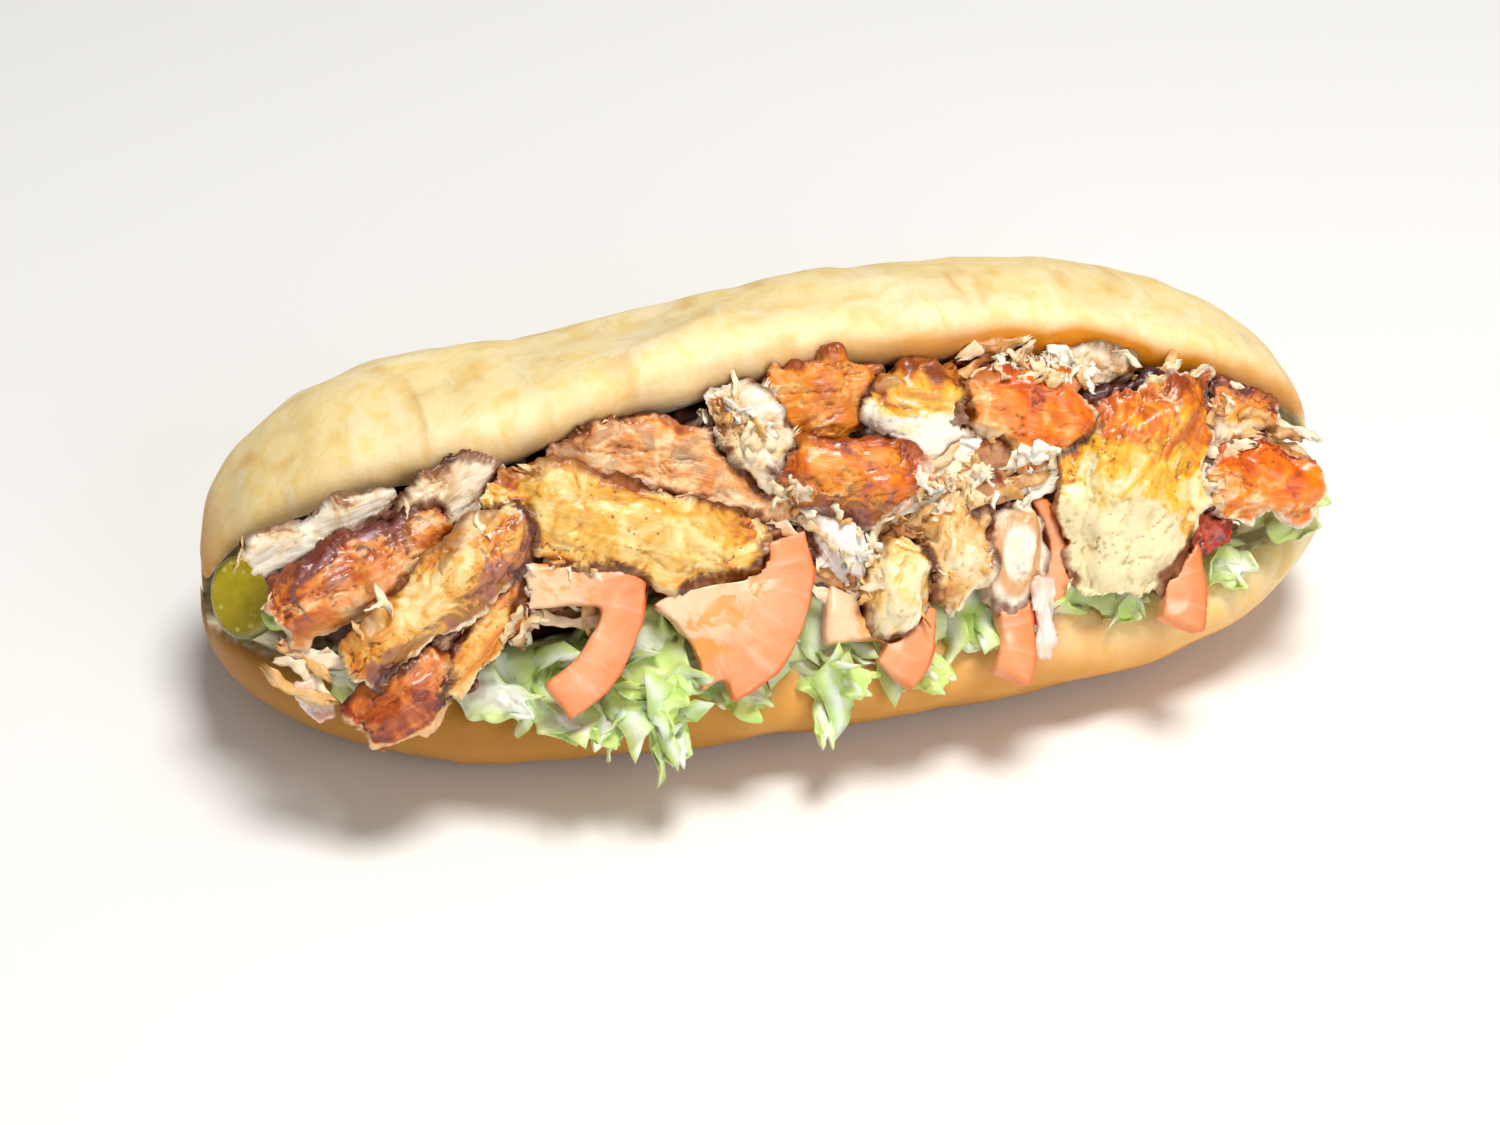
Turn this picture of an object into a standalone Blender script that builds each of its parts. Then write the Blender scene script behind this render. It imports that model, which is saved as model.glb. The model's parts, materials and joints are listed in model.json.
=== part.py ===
"""A doner kebab sandwich: a long soft roll, split along its front, filled with lettuce, tomato,
pickle and onion and heaped with sliced roast chicken. It lies on its heel, with the open side
towards -Y. Lengths below are in millimetres, and each mesh is scaled to metres as it is made."""

import random
from math import cos, pi, radians, sin
from typing import NamedTuple

import bmesh
import bpy
from mathutils import Matrix, Vector, noise

MM = 0.001

# Driving sizes of the roll
ROLL_LENGTH = 245.0
END_SQUARENESS = 3.0  # how late the ends start to round off
END_FULLNESS = 0.4  # how blunt the ends are
RISE_CENTRE = 27.0  # height that the sections shrink towards at the ends
WALL_HOLD = 0.8  # the walls thin more slowly than the section shrinks
CRUST_DENTS = 0.9
STATIONS = 35
SPINE_STEPS = 14
CAP_STEPS = 3

# The roll's section at mid-length: (y, z, half thickness) from the heel's front lip, back along
# the bottom, up round the hinge and forward to the nose of the crown
SPINE = (
    (-38.5, 19.5, 9.8),
    (-21.0, 10.0, 12.0),
    (8.0, 10.0, 12.0),
    (31.0, 16.5, 10.5),
    (41.0, 36.0, 8.0),
    (36.0, 54.0, 9.5),
    (22.0, 69.5, 11.0),
    (8.0, 78.5, 10.0),
    (-6.0, 84.0, 7.5),
)
CROWN_DROOP = 8.5  # how far the crown's nose hangs forward and down at the left end
RIGHT_DROOP = 5.0  # the same at the right end
CROWN_SAG = 5.0  # how far the top dips left of the middle
LIP_CLOSING = 12.0  # how far the heel's lip turns up at the two ends
BACK_BEND = 7.5  # how far the left end bends back
FRONT_BEND = 3.5  # how far the right end bends forward

# The open face of the filling: a plane from the heel's lip up to the crown's nose
MOUTH_TILT = radians(54.0)
MOUTH_ORIGIN = Vector((-2.0, -26.0, 51.0))

# Room left between neighbours that touch, and between the filling and the roll
TOUCH_GAP = 0.6
CAVITY_GAP = 0.8
HEAP_ROUNDING = 16.0  # length over which the ends of a heap draw in
# Ways to simplify a trimmed piece: (edges shorter than this close, faces that meet within this
# angle join). The last one that leaves the piece sound is used.
SIMPLER = ((0, 0), (0.002, 0.05), (0.01, 2.0), (0.02, 3.5), (0.02, 5.5))
SIMPLEST = (*SIMPLER, (0.06, 8.0), (0.1, 11.0))  # for the heaps, which are trimmed last


class Slice(NamedTuple):
    """A slab of roast chicken. along, up and out place its middle on the open face; turn is the
    angle of its length from the roll's length, pitch lifts its far end and lean its upper edge.
    taper widens its far end, a soft slice has rounder corners, and skew slants the far end."""

    name: str
    along: float
    up: float
    out: float
    length: float
    width: float
    thick: float
    turn: float
    pitch: float = 0.0
    lean: float = 0.0
    bow: float = 0.0
    cup: float = 0.0
    ragged: float = 0.12
    taper: float = 0.0
    soft: float = 0.5
    skew: float = 0.0


class TomatoSlice(NamedTuple):
    """Part of a round of tomato: a rind arc with spokes of flesh that run in to the middle."""

    name: str
    along: float
    up: float
    out: float
    radius: float
    start: float
    end: float
    spokes: tuple
    lean: float = 0.0
    wall: float = 8.0


class Strip(NamedTuple):
    """A thin wavy strip between two places on the open face, each (along, up, out)."""

    first: tuple
    last: tuple
    width: float
    thick: float = 1.8
    wave: float = 1.5


# Outermost first, because each slice is trimmed where it meets those above it
CHICKEN = (
    Slice("chicken_long_bar", -75.5, -1.5, 11, 46, 13, 8, 34, bow=3.0, cup=2.0, taper=0.1, soft=0.3),
    Slice("chicken_gold_bar", -35, 6.5, 9, 60, 19, 7, -22, bow=4.0, cup=2.5, ragged=0.15, soft=0.4),
    Slice("chicken_right_panel", 72, -1.5, 10, 42, 32, 5.5, 80, 4, 0, 4.0, 3.5, 0.10, 0.1, 0.2, 0.3),
    Slice("chicken_diamond", 51, 18.5, 10, 32, 20, 5.5, -16, 6, 6, 2.0, 3.0, 0.20, 0.1, 0.9),
    Slice("chicken_seared_wedge", 13, 9.0, 11, 34, 17, 5, -17, 0, 16, 2.0, 2.0, 0.22, -0.2, 0.7),
    Slice("chicken_red_flap", 101, -4.5, 8, 26, 18, 4.5, -14, 0, 6, 2.0, 2.0, 0.24, -0.15, 0.5),
    Slice("chicken_orange_edge", -66.5, -11.0, 9, 31, 8, 5, 43, 0, 20, 1.5, 0, 0.16),
    Slice("chicken_left_panel", -89.5, 4.5, 6, 40, 17, 5.5, 17, 0, 10, 3.0, 2.0, 0.18, 0.1, 0.3),
    Slice("chicken_spotted_chunk", -84, -19.0, 6, 26, 16, 9, 24, 0, 0, 2.0, 2.0, 0.22, 0.1, 0.4),
    Slice("chicken_grey_middle", -70, -6.5, 5, 43, 18, 7, 35, 0, 0, 2.0, 1.5, 0.12, 0.1, 0.3),
    Slice("chicken_rosy_slice", -24, 17.0, 5, 53, 20, 6, -22, 0, 6, 3.0, 2.0, 0.12, 0.1, 0.4),
    Slice("chicken_egg_round", 44.5, -10.5, 7, 25, 15, 7, 80, 0, 0, 2.0, 2.0, 0.10, 0, 0.8),
    Slice("chicken_yellow_chunk", 18, -14.5, 9, 22, 14, 8, 66, 0, 0, 2.0, 2.0, 0.16, 0.1, 0.7),
    Slice("chicken_folded_piece", 30.5, -9.5, 8, 24, 17, 6, 52, 0, -14, 3.0, 2.0, 0.24, 0.15, 0.4),
    Slice("chicken_white_chunk", 9.5, -3.5, 6, 22, 12, 8, -52, 0, 0, 2.0, 1.0, 0.20, -0.1, 0.5),
    Slice("chicken_white_curl", -6.5, 21.5, 9, 24, 11, 4.5, -55, 0, 8, 3.0, 0, 0.34, 0.1, 0.5),
    Slice("chicken_top_orange", 8, 26.5, 8, 27, 16, 5.5, -5, 0, 14, 2.0, 0, 0.24, 0.15, 0.4),
    Slice("chicken_cream_top", 29.5, 21.0, 8, 28, 21, 7, -10, 0, 8, 3.0, 3.0, 0.16, 0, 0.6),
    Slice("chicken_dark_rim", 67, 14.5, 7, 34, 10, 4, 17, 0, 24, 0, 0, 0.18),
    Slice("chicken_far_rim", 95, 12.5, 7, 26, 11, 6, -20, 0, 8, 2.0, 0, 0.20),
    Slice("chicken_deep_red", 86, -9.0, 4, 17, 13, 6, 60, 0, 0, 0, 0, 0.18),
    Slice("chicken_red_scrap", 46, 31.0, 5, 16, 8, 4, -8, 0, 10, 0, 0, 0.28),
    Slice("chicken_curled_scrap", 68, 24.0, 6, 18, 10, 4, -30, 0, 10, 3.0, 0, 0.30),
    Slice("chicken_pale_wedge", -71, 17.5, 4, 26, 12, 4, 28, 0, 12, 0, 0, 0.18, 0.3, 0.3),
    Slice("chicken_pale_sliver", -95, 14.0, 4, 34, 11, 4, 12, 0, 16, 0, 0, 0.14, 0.1, 0.4),
)

TOMATOES = (
    TomatoSlice("tomato_left", -64, -2, 9, 31, -70, 6, (-6,), lean=-4, wall=9),
    TomatoSlice("tomato_wide", -26, -5, 8, 28, -76, 12, (-12, -42, -70), lean=-6, wall=12),
    TomatoSlice("tomato_low", 1, -17, 7, 26, -48, 16, (-14,), lean=-8, wall=10),
    TomatoSlice("tomato_hanging_strip", 22, -25, 7.5, 25, -33, 20, (), lean=-10, wall=7.5),
    TomatoSlice("tomato_right_strip", 56, -20, 8, 29, -28, 24, (), lean=-10, wall=9.5),
    TomatoSlice("tomato_tucked", 42, -12, 5, 16, -75, 60, (20,), wall=7),
)

ONIONS = {
    "onion_strip": Strip((50, -17, 9), (47, -33, 10), 5, 2.2, 1.0),
    "onion_left": Strip((-104, -15, 3), (-101, -23, 3), 5, 2.4, 0.8),
    "onion_middle": Strip((-50, 4, 4), (-42, 1, 5), 5, 2.2, 0.6),
}

# Leaves of shredded lettuce that stand out of the bed of salad
LEAVES = (
    Strip((-42, -12, -6), (-24, -26, 8), 16, wave=2.5),
    Strip((-50, -18, -6), (-30, -33, 8), 13, wave=2.5),
    Strip((-34, -14, -6), (-31, -43, 7), 9, wave=1.5),
    Strip((-26, -18, -6), (-12, -34, 7), 11, wave=2.0),
    Strip((-36, -22, -6), (-47, -37, 6), 10, wave=1.5),
    Strip((-78, -17, -5), (-60, -28, 6), 10, 2.2, 1.0),
    Strip((-12, -22, -6), (10, -34, 7), 10, wave=1.8),
    Strip((25, -16, -6), (43, -29, 6), 11, wave=1.8),
    Strip((98, -4, -12), (115, -13, 0), 15, wave=2.0),
    Strip((4, -22, -6), (0, -44, 7), 5, 1.6, 1.0),
    Strip((-108, 4, -12), (-100, -6, -2), 9, wave=1.2),
    Strip((-62, -18, -6), (-50, -35, 6), 10, wave=1.5),
    Strip((12, -22, -6), (27, -36, 5), 10, wave=1.5),
    Strip((58, -17, -7), (72, -27, 2), 10, wave=1.8),
    Strip((84, -14, -8), (97, -24, 1), 10, wave=1.8),
    Strip((-98, -14, -8), (-84, -26, 2), 9, wave=1.5),
)

# Frayed ends and chopped bits that stand out of the meat under the slices
SHREDS = (
    Strip((-14, 18, 6), (-3, 31, 8), 6, 2.5, 1.5),
    Strip((-3, 14, 7), (4, 20, 9), 6, 3.0, 1.0),
    Strip((38, 29, 5), (54, 33, 5), 6, 3.0, 1.0),
    Strip((57, 28, 5), (66, 21, 7), 6, 2.5, 1.5),
    Strip((1, 4, 6), (10, -1, 8), 6, 2.8, 1.5),
    Strip((2, -8, 5), (14, -14, 7), 7, 3.0, 1.0),
    Strip((44, 0, 6), (60, 6, 8), 7, 3.0, 1.0),
    Strip((16, 1, 5), (44, 3, 9), 8, 3.0, 1.5),
    Strip((20, 6, 6), (50, 12, 9), 8, 3.0, 1.5),
    Strip((18, 14, 5), (44, 9, 9), 7, 3.0, 1.5),
    Strip((34, 2, 5), (58, 9, 8), 7, 3.0, 1.0),
    Strip((86, 8, 4), (99, 3, 8), 8, 4.0, 1.0),
    Strip((76, 18, 5), (90, 22, 6), 6, 3.0, 1.0),
    Strip((-58, 6, 3), (-44, -4, 4), 8, 3.0, 1.5),
    Strip((-56, -4, 3), (-40, -9, 4), 8, 3.0, 1.0),
    Strip((-109, -8, 2), (-98, -17, 4), 8, 3.0, 1.0),
    Strip((-12, 2, 4), (2, -6, 5), 8, 3.0, 1.0),
    Strip((104, 8, 3), (112, 0, 3), 7, 3.0, 1.0),
)

PICKLE_PLACE = Vector((-114.0, -13.0, 45.5))
PICKLE_FACES = Vector((-0.55, -0.6, 0.55))
PICKLE_RADIUS = 9.0
PICKLE_THICK = 4.0


def spread(low, high, count):
    return [low + (high - low) * i / (count - 1) for i in range(count)]


def wobble(point, size, seed=0.0):
    """Smooth seeded noise from -1 to 1, with lumps of about that size."""
    return noise.noise(Vector(point) / size + Vector((seed * 7.3, seed * 3.1, seed * 5.7)))


def new_object(name, mesh, colour, roughness):
    """The object that holds the mesh, scaled to metres, with a plain material of its own."""
    mesh.transform(Matrix.Scale(MM, 4))
    material = bpy.data.materials.new(name)
    material.use_nodes = True
    shader = material.node_tree.nodes["Principled BSDF"]
    shader.inputs["Base Color"].default_value = (*colour, 1.0)
    shader.inputs["Roughness"].default_value = roughness
    shader.inputs["Metallic"].default_value = 0.0
    mesh.materials.clear()
    mesh.materials.append(material)
    obj = bpy.data.objects.new(name, mesh)
    bpy.context.scene.collection.objects.link(obj)
    return obj


def mesh_from(name, points, faces):
    """A closed mesh, with its faces turned outwards."""
    mesh = bpy.data.meshes.new(name)
    mesh.from_pydata(points, [], faces)
    shape = bmesh.new()
    shape.from_mesh(mesh)
    bmesh.ops.recalc_face_normals(shape, faces=shape.faces)
    bmesh.ops.triangulate(shape, faces=shape.faces)
    shape.to_mesh(mesh)
    shape.free()
    return mesh


# The roll's shape


def taper(x):
    """Share of the full section that is left at x."""
    return max(1 - abs(2 * x / ROLL_LENGTH) ** END_SQUARENESS, 0) ** END_FULLNESS


def step_up(value, low, high):
    """Rises smoothly from 0 to 1 as the value goes from low to high."""
    share = min(max((value - low) / (high - low), 0), 1)
    return share * share * (3 - 2 * share)


def catmull(points, s):
    """The value at s along a smooth curve through the points, where s counts them."""
    last = len(points) - 1
    i = min(int(s), last - 1)
    f = s - i
    first, second = points[i], points[i + 1]
    before = points[i - 1] if i else tuple(2 * a - b for a, b in zip(first, second))
    after = points[i + 2] if i + 2 <= last else tuple(2 * b - a for a, b in zip(first, second))
    return tuple(
        0.5 * (2 * b + (c - a) * f + (2 * a - 5 * b + 4 * c - d) * f**2 + (3 * b - a - 3 * c + d) * f**3)
        for a, b, c, d in zip(before, first, second, after)
    )


def closing(x):
    """Share of the lip's rise at x, which the last third of each end has."""
    share = min(max((abs(2 * x / ROLL_LENGTH) - 0.62) / 0.38, 0), 1)
    return share * share


def bend(x):
    """How far back the middle of the roll lies at x."""
    t = 2 * x / ROLL_LENGTH
    return BACK_BEND * t * t if t < 0 else -FRONT_BEND * t * t


def sag(x):
    """Share of the crown's dip at x, which is deepest a third of the way along."""
    return max(1 - ((x + 38) / 55) ** 2, 0) ** 2


def spine_at(x):
    """The spine's points at x, with the crown's last two let down by its droop and the heel's
    first two turned up where the mouth closes."""
    hang = CROWN_DROOP * step_up(-x, 5, 70) + RIGHT_DROOP * step_up(x, 45, 95)
    points = list(SPINE)
    rise = LIP_CLOSING * closing(x)
    y, z, half = points[0]
    points[0] = (y + 0.1 * rise, z + rise, half)
    y, z, half = points[1]
    points[1] = (y - 0.1 * rise, z + 0.3 * rise, half)
    for i in (5, 6, 7):
        y, z, half = points[i]
        points[i] = (y, z - CROWN_SAG * sag(x), half)
    y, z, half = points[-1]
    points[-1] = (y - 0.7 * hang, z - 0.8 * hang, half)
    y, z, half = points[-2]
    points[-2] = (y - 0.4 * hang, z - 0.4 * hang, half)
    return points


def wall_at(x, s):
    """(middle, outward direction, half thickness) of the roll's wall at x, where s runs from 0 at
    the heel's lip to 1 at the crown's nose."""
    points = spine_at(x)
    k = taper(x)
    reach = s * (len(points) - 1)
    y, z, half = catmull(points, reach)
    step = 0.02
    y0, z0, _ = catmull(points, max(reach - step, 0))
    y1, z1, _ = catmull(points, min(reach + step, len(points) - 1))
    outward = Vector((0, z1 - z0, y0 - y1)).normalized()
    middle = Vector((x, y * k + bend(x), RISE_CENTRE + (z - RISE_CENTRE) * k))
    return middle, outward, half * k**WALL_HOLD


def inside_wall(x, s, gap):
    """A point of the cavity's surface, that gap clear of the crumb."""
    middle, outward, half = wall_at(x, s)
    return middle - outward * (half + gap)


def crust(point, outward, x):
    """The point with the crust's shallow dents, held on or above the table."""
    dent = wobble(point, 24, 1) + 0.5 * wobble(point, 11, 2)
    moved = point + outward * CRUST_DENTS * dent * taper(x)
    moved.z = max(moved.z, 0.0)
    moved.x = x
    return moved


def roll_section(x):
    """The closed outline of the roll at x: outside, nose, inside and lip."""
    walls = [wall_at(x, s) for s in spread(0, 1, SPINE_STEPS + 1)]
    outer = [crust(middle + outward * half, outward, x) for middle, outward, half in walls]
    inner = [middle - outward * half for middle, outward, half in walls]

    def cap(middle, outward, half, forward):
        arc = []
        for i in range(1, CAP_STEPS + 1):
            turn = pi * i / (CAP_STEPS + 1)
            arc.append(middle + half * (outward * cos(turn) + forward * sin(turn)))
        return arc

    middle, outward, half = walls[-1]
    nose = cap(middle, outward, half, Vector((0, -outward.z, outward.y)))
    middle, outward, half = walls[0]
    lip = cap(middle, outward, half, Vector((0, outward.z, -outward.y)))
    return outer + nose + inner[::-1] + lip[::-1]


def loft(name, sections):
    """A closed mesh through equal outlines, with both ends filled."""
    n = len(sections[0])
    points = [p for section in sections for p in section]
    faces = [tuple(range(n)), tuple(range(len(points) - n, len(points)))]
    for i in range(len(sections) - 1):
        for j in range(n):
            a, b = i * n + j, i * n + (j + 1) % n
            faces.append((a, b, b + n, a + n))
    return mesh_from(name, points, faces)


def roll_mesh():
    turns = spread(radians(-88), radians(88), STATIONS)
    return loft("roll", [roll_section(ROLL_LENGTH / 2 * sin(turn)) for turn in turns])


# The filling's place on the open face


def face_basis():
    along = Vector((1, 0, 0))
    up = Vector((0, cos(MOUTH_TILT), sin(MOUTH_TILT)))
    out = along.cross(up)
    return Matrix((along, up, out)).transposed().to_4x4()


def on_face(along, up, out, turn=0.0, pitch=0.0, lean=0.0):
    """The matrix that sets a flat piece on the open face."""
    turned = Matrix.Rotation(radians(turn), 4, "Z")
    pitched = Matrix.Rotation(radians(-pitch), 4, "Y")
    leaned = Matrix.Rotation(radians(lean), 4, "X")
    basis = face_basis()
    place = Matrix.Translation(MOUTH_ORIGIN + basis @ Vector((along, up, out)))
    return place @ basis @ turned @ pitched @ leaned


def slab_mesh(piece, seed):
    """A slice with an uneven outline, thinner towards its edges, bowed along and across."""
    columns = 7 if piece.length > 22 else 5
    rows = 5 if piece.width > 12 else 4
    top, bottom = [], []
    for p in spread(-1, 1, columns):
        for q in spread(-1, 1, rows):
            edge = max(abs(p), abs(q))
            x = piece.length / 2 * (p * (1 - 0.3 * piece.soft * q * q) - piece.skew * q * (p + 1) / 2)
            y = piece.width / 2 * q * (1 - 0.5 * piece.soft * p * p) * (1 + piece.taper * p)
            spot = (x, y, 0)
            x += piece.ragged * piece.width * edge * wobble(spot, 8, seed) * 1.3
            y += piece.ragged * piece.width * edge * wobble(spot, 8, seed + 0.5)
            rise = piece.bow * (1 - p * p) + piece.cup * (1 - q * q) - (piece.bow + piece.cup) / 2
            rise += 0.25 * piece.thick * wobble(spot, 10, seed + 0.9)
            half = piece.thick / 2 * (1 - 0.4 * edge**6) * (1 + 0.25 * wobble(spot, 10, seed + 0.3))
            top.append((x, y, rise + half))
            bottom.append((x * 0.96, y * 0.96, rise - half))
    return closed_slab(piece.name, top, bottom, columns, rows)


def strip_mesh(strip, seed, steps=6):
    """A thin strip that waves in and out of the open face, on its way between its ends."""
    first, last = Vector(strip.first), Vector(strip.last)
    run = last - first
    side = Vector((0, 0, 1)).cross(run).normalized()
    top, bottom = [], []
    for f in spread(0, 1, steps):
        width = strip.width * (0.55 + 0.45 * sin(pi * (0.1 + 0.8 * f)))
        for q in (-1, 0, 1):
            point = first + run * f + side * q * width / 2
            point += side * 0.12 * width * wobble(point, 7, seed)
            point.z += strip.wave * sin(5 * f + seed) + 0.5 * strip.wave * q * sin(7 * f + 2 * seed)
            half = strip.thick / 2 * (1.0 if q == 0 else 0.75)
            top.append(point + Vector((0, 0, half)))
            bottom.append(point - Vector((0, 0, half)))
    mesh = closed_slab("strip", top, bottom, steps, 3)
    mesh.transform(Matrix.Translation(MOUTH_ORIGIN) @ face_basis())
    return mesh


def closed_slab(name, top, bottom, columns, rows):
    """Joins two grids of points, the second below the first, round their border."""
    points = top + bottom
    below = len(top)

    def at(i, j):
        return i * rows + j

    faces = []
    for i in range(columns - 1):
        for j in range(rows - 1):
            square = (at(i, j), at(i + 1, j), at(i + 1, j + 1), at(i, j + 1))
            faces.append(square)
            faces.append(tuple(below + k for k in reversed(square)))
    rim = [at(i, 0) for i in range(columns)]
    rim += [at(columns - 1, j) for j in range(1, rows)]
    rim += [at(i, rows - 1) for i in range(columns - 2, -1, -1)]
    rim += [at(0, j) for j in range(rows - 2, 0, -1)]
    for a, b in zip(rim, rim[1:] + rim[:1]):
        faces.append((a, below + a, below + b, b))
    return mesh_from(name, points, faces)


def arc_wall(radius, wall, start, end, thick, steps):
    """A band of a round slice, from one angle to another."""
    top, bottom = [], []
    for turn in spread(radians(start), radians(end), steps):
        for r in (radius - wall, radius - 0.45 * wall, radius):
            bulge = 0.35 if radius - wall < r < radius else 0.0
            top.append((r * cos(turn), r * sin(turn), thick / 2 + bulge))
            bottom.append((r * cos(turn), r * sin(turn), -thick / 2 - bulge))
    return closed_slab("band", top, bottom, steps, 3)


def spoke_wall(radius, wall, turn, thick):
    """A spoke of flesh from the middle of a slice into its rind."""
    top, bottom = [], []
    steps = 5
    for i in range(steps):
        r = radius * (0.10 + 0.72 * i / (steps - 1))
        half = wall * (0.42 + 0.22 * (2 * i / (steps - 1) - 1) ** 2)
        for side in (-1, 0, 1):
            x = r * cos(radians(turn)) - side * half * sin(radians(turn))
            y = r * sin(radians(turn)) + side * half * cos(radians(turn))
            lift = 0.3 if side == 0 else 0.0
            top.append((x, y, (thick - 0.6) / 2 + lift))
            bottom.append((x, y, -(thick - 0.6) / 2 - lift))
    return closed_slab("spoke", top, bottom, steps, 3)


# Joining and trimming


def helper(mesh):
    obj = bpy.data.objects.new("helper", mesh)
    bpy.context.scene.collection.objects.link(obj)
    return obj


def evaluated_mesh(obj):
    bpy.context.view_layer.update()
    graph = bpy.context.evaluated_depsgraph_get()
    return bpy.data.meshes.new_from_object(obj.evaluated_get(graph))


def combined(first, others, operation, solver="MANIFOLD"):
    """The first mesh with the others joined to it or cut from it, by one Boolean."""
    target = helper(first)
    tools = bpy.data.collections.new("tools")
    bpy.context.scene.collection.children.link(tools)
    for mesh in others:
        tools.objects.link(bpy.data.objects.new("tool", mesh))
    modifier = target.modifiers.new("combine", "BOOLEAN")
    modifier.operation = operation
    modifier.solver = solver
    modifier.operand_type = "COLLECTION"
    modifier.collection = tools
    result = evaluated_mesh(target)
    for obj in [target, *tools.objects]:
        bpy.data.objects.remove(obj)
    bpy.data.collections.remove(tools)
    return result


def grown(mesh, gap):
    """A copy whose surface stands that far outside the mesh's own."""
    shape = bmesh.new()
    shape.from_mesh(mesh)
    shape.normal_update()
    moves = [(v, v.co + v.normal * gap * min(v.calc_shell_factor(), 1.8)) for v in shape.verts]
    for v, place in moves:
        v.co = place
    copy = bpy.data.meshes.new("grown")
    shape.to_mesh(copy)
    shape.free()
    return copy


def corners(mesh):
    low = Vector(min(v.co[i] for v in mesh.vertices) for i in range(3))
    high = Vector(max(v.co[i] for v in mesh.vertices) for i in range(3))
    return low, high


def near(first, second):
    low_a, high_a = corners(first)
    low_b, high_b = corners(second)
    return all(low_a[i] < high_b[i] + 1 and low_b[i] < high_a[i] + 1 for i in range(3))


def faces_joined_to(first):
    """The faces that can be reached from the first across shared edges."""
    group, reached = {first}, [first]
    while reached:
        for neighbour in (f for e in reached.pop().edges for f in e.link_faces):
            if neighbour not in group:
                group.add(neighbour)
                reached.append(neighbour)
    return group


def drop_scraps(shape):
    """Leaves only the largest piece of the shape."""
    groups, seen = [], set()
    for face in shape.faces:
        if face not in seen:
            groups.append(faces_joined_to(face))
            seen |= groups[-1]
    keep = max(groups, key=lambda group: sum(f.calc_area() for f in group))
    scraps = [f for f in shape.faces if f not in keep]
    bmesh.ops.delete(shape, geom=scraps, context="FACES")


def simplify(shape, sliver, flat):
    """Closes slivers and joins faces that meet nearly flat."""
    for _ in range(2):
        bmesh.ops.remove_doubles(shape, verts=shape.verts, dist=sliver)
        bmesh.ops.dissolve_degenerate(shape, edges=shape.edges, dist=sliver)
        bmesh.ops.dissolve_limit(shape, angle_limit=radians(flat), verts=shape.verts, edges=shape.edges)
        bmesh.ops.triangulate(shape, faces=shape.faces)


def largest_piece(mesh, ways):
    """The mesh with its scraps dropped, and simplified as far as it stays closed and keeps its
    volume."""
    kept, full = mesh.copy(), None
    for sliver, flat in ways:
        shape = bmesh.new()
        shape.from_mesh(mesh)
        drop_scraps(shape)
        if sliver:
            simplify(shape, sliver, flat)
            drop_scraps(shape)
        volume = shape.calc_volume()
        full = full or volume
        sound = all(edge.is_manifold for edge in shape.edges) and abs(volume / full - 1) < 0.02
        if sound:
            shape.to_mesh(kept)
        shape.free()
    return kept


def trimmed(mesh, keepers, ways):
    """The mesh cut back to leave a thin gap to each keeper that it meets. The later cuts take
    off what the simplifying after the first let through."""
    keepers = [keeper for keeper in keepers if near(mesh, keeper)]
    passes = ((TOUCH_GAP, ways), (TOUCH_GAP * 0.7, SIMPLER[:2]), (0.03, SIMPLER[:1]))
    for gap, simpler in passes:
        cutters = [grown(keeper, gap) for keeper in keepers]
        if cutters:
            mesh = largest_piece(combined(mesh, cutters, "DIFFERENCE"), simpler)
    return mesh


# The pieces


def placed(mesh, piece):
    mesh.transform(
        on_face(piece.along, piece.up, piece.out, piece.turn, piece.pitch, piece.lean)
    )
    return mesh


def tomato_mesh(piece, thick=5.5):
    band = arc_wall(piece.radius, piece.wall, piece.start, piece.end, thick, 9)
    spokes = [spoke_wall(piece.radius, piece.wall, turn, thick) for turn in piece.spokes]
    if spokes:
        band = largest_piece(combined(band, spokes, "UNION"), SIMPLER)
    band.transform(on_face(piece.along, piece.up, piece.out, lean=piece.lean))
    return band


def pickle_mesh():
    """A round slice, a little domed, that faces out of the left end."""
    turns = [2 * pi * i / 16 for i in range(16)]
    points, faces = [], []
    for height, radius in ((-0.5, 0.9), (0, 1), (0.5, 0.9), (0.62, 0.45), (-0.62, 0.45)):
        for turn in turns:
            r = PICKLE_RADIUS * radius * (1 + 0.05 * sin(3 * turn))
            points.append((r * cos(turn), r * sin(turn), height * PICKLE_THICK))
    for low, high in ((0, 1), (1, 2), (2, 3), (4, 0)):
        for i in range(16):
            j = (i + 1) % 16
            faces.append((low * 16 + i, low * 16 + j, high * 16 + j, high * 16 + i))
    faces += [tuple(range(48, 64)), tuple(range(64, 80))]
    mesh = mesh_from("pickle", points, faces)
    turned = PICKLE_FACES.to_track_quat("Z", "Y").to_matrix().to_4x4()
    mesh.transform(Matrix.Translation(PICKLE_PLACE) @ turned)
    return mesh


def heap_mesh(core, strips, seed):
    """A heap: its core with the strips that stand out of it joined on."""
    return combined(core, [strip_mesh(strip, seed + i) for i, strip in enumerate(strips)], "UNION")


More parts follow.
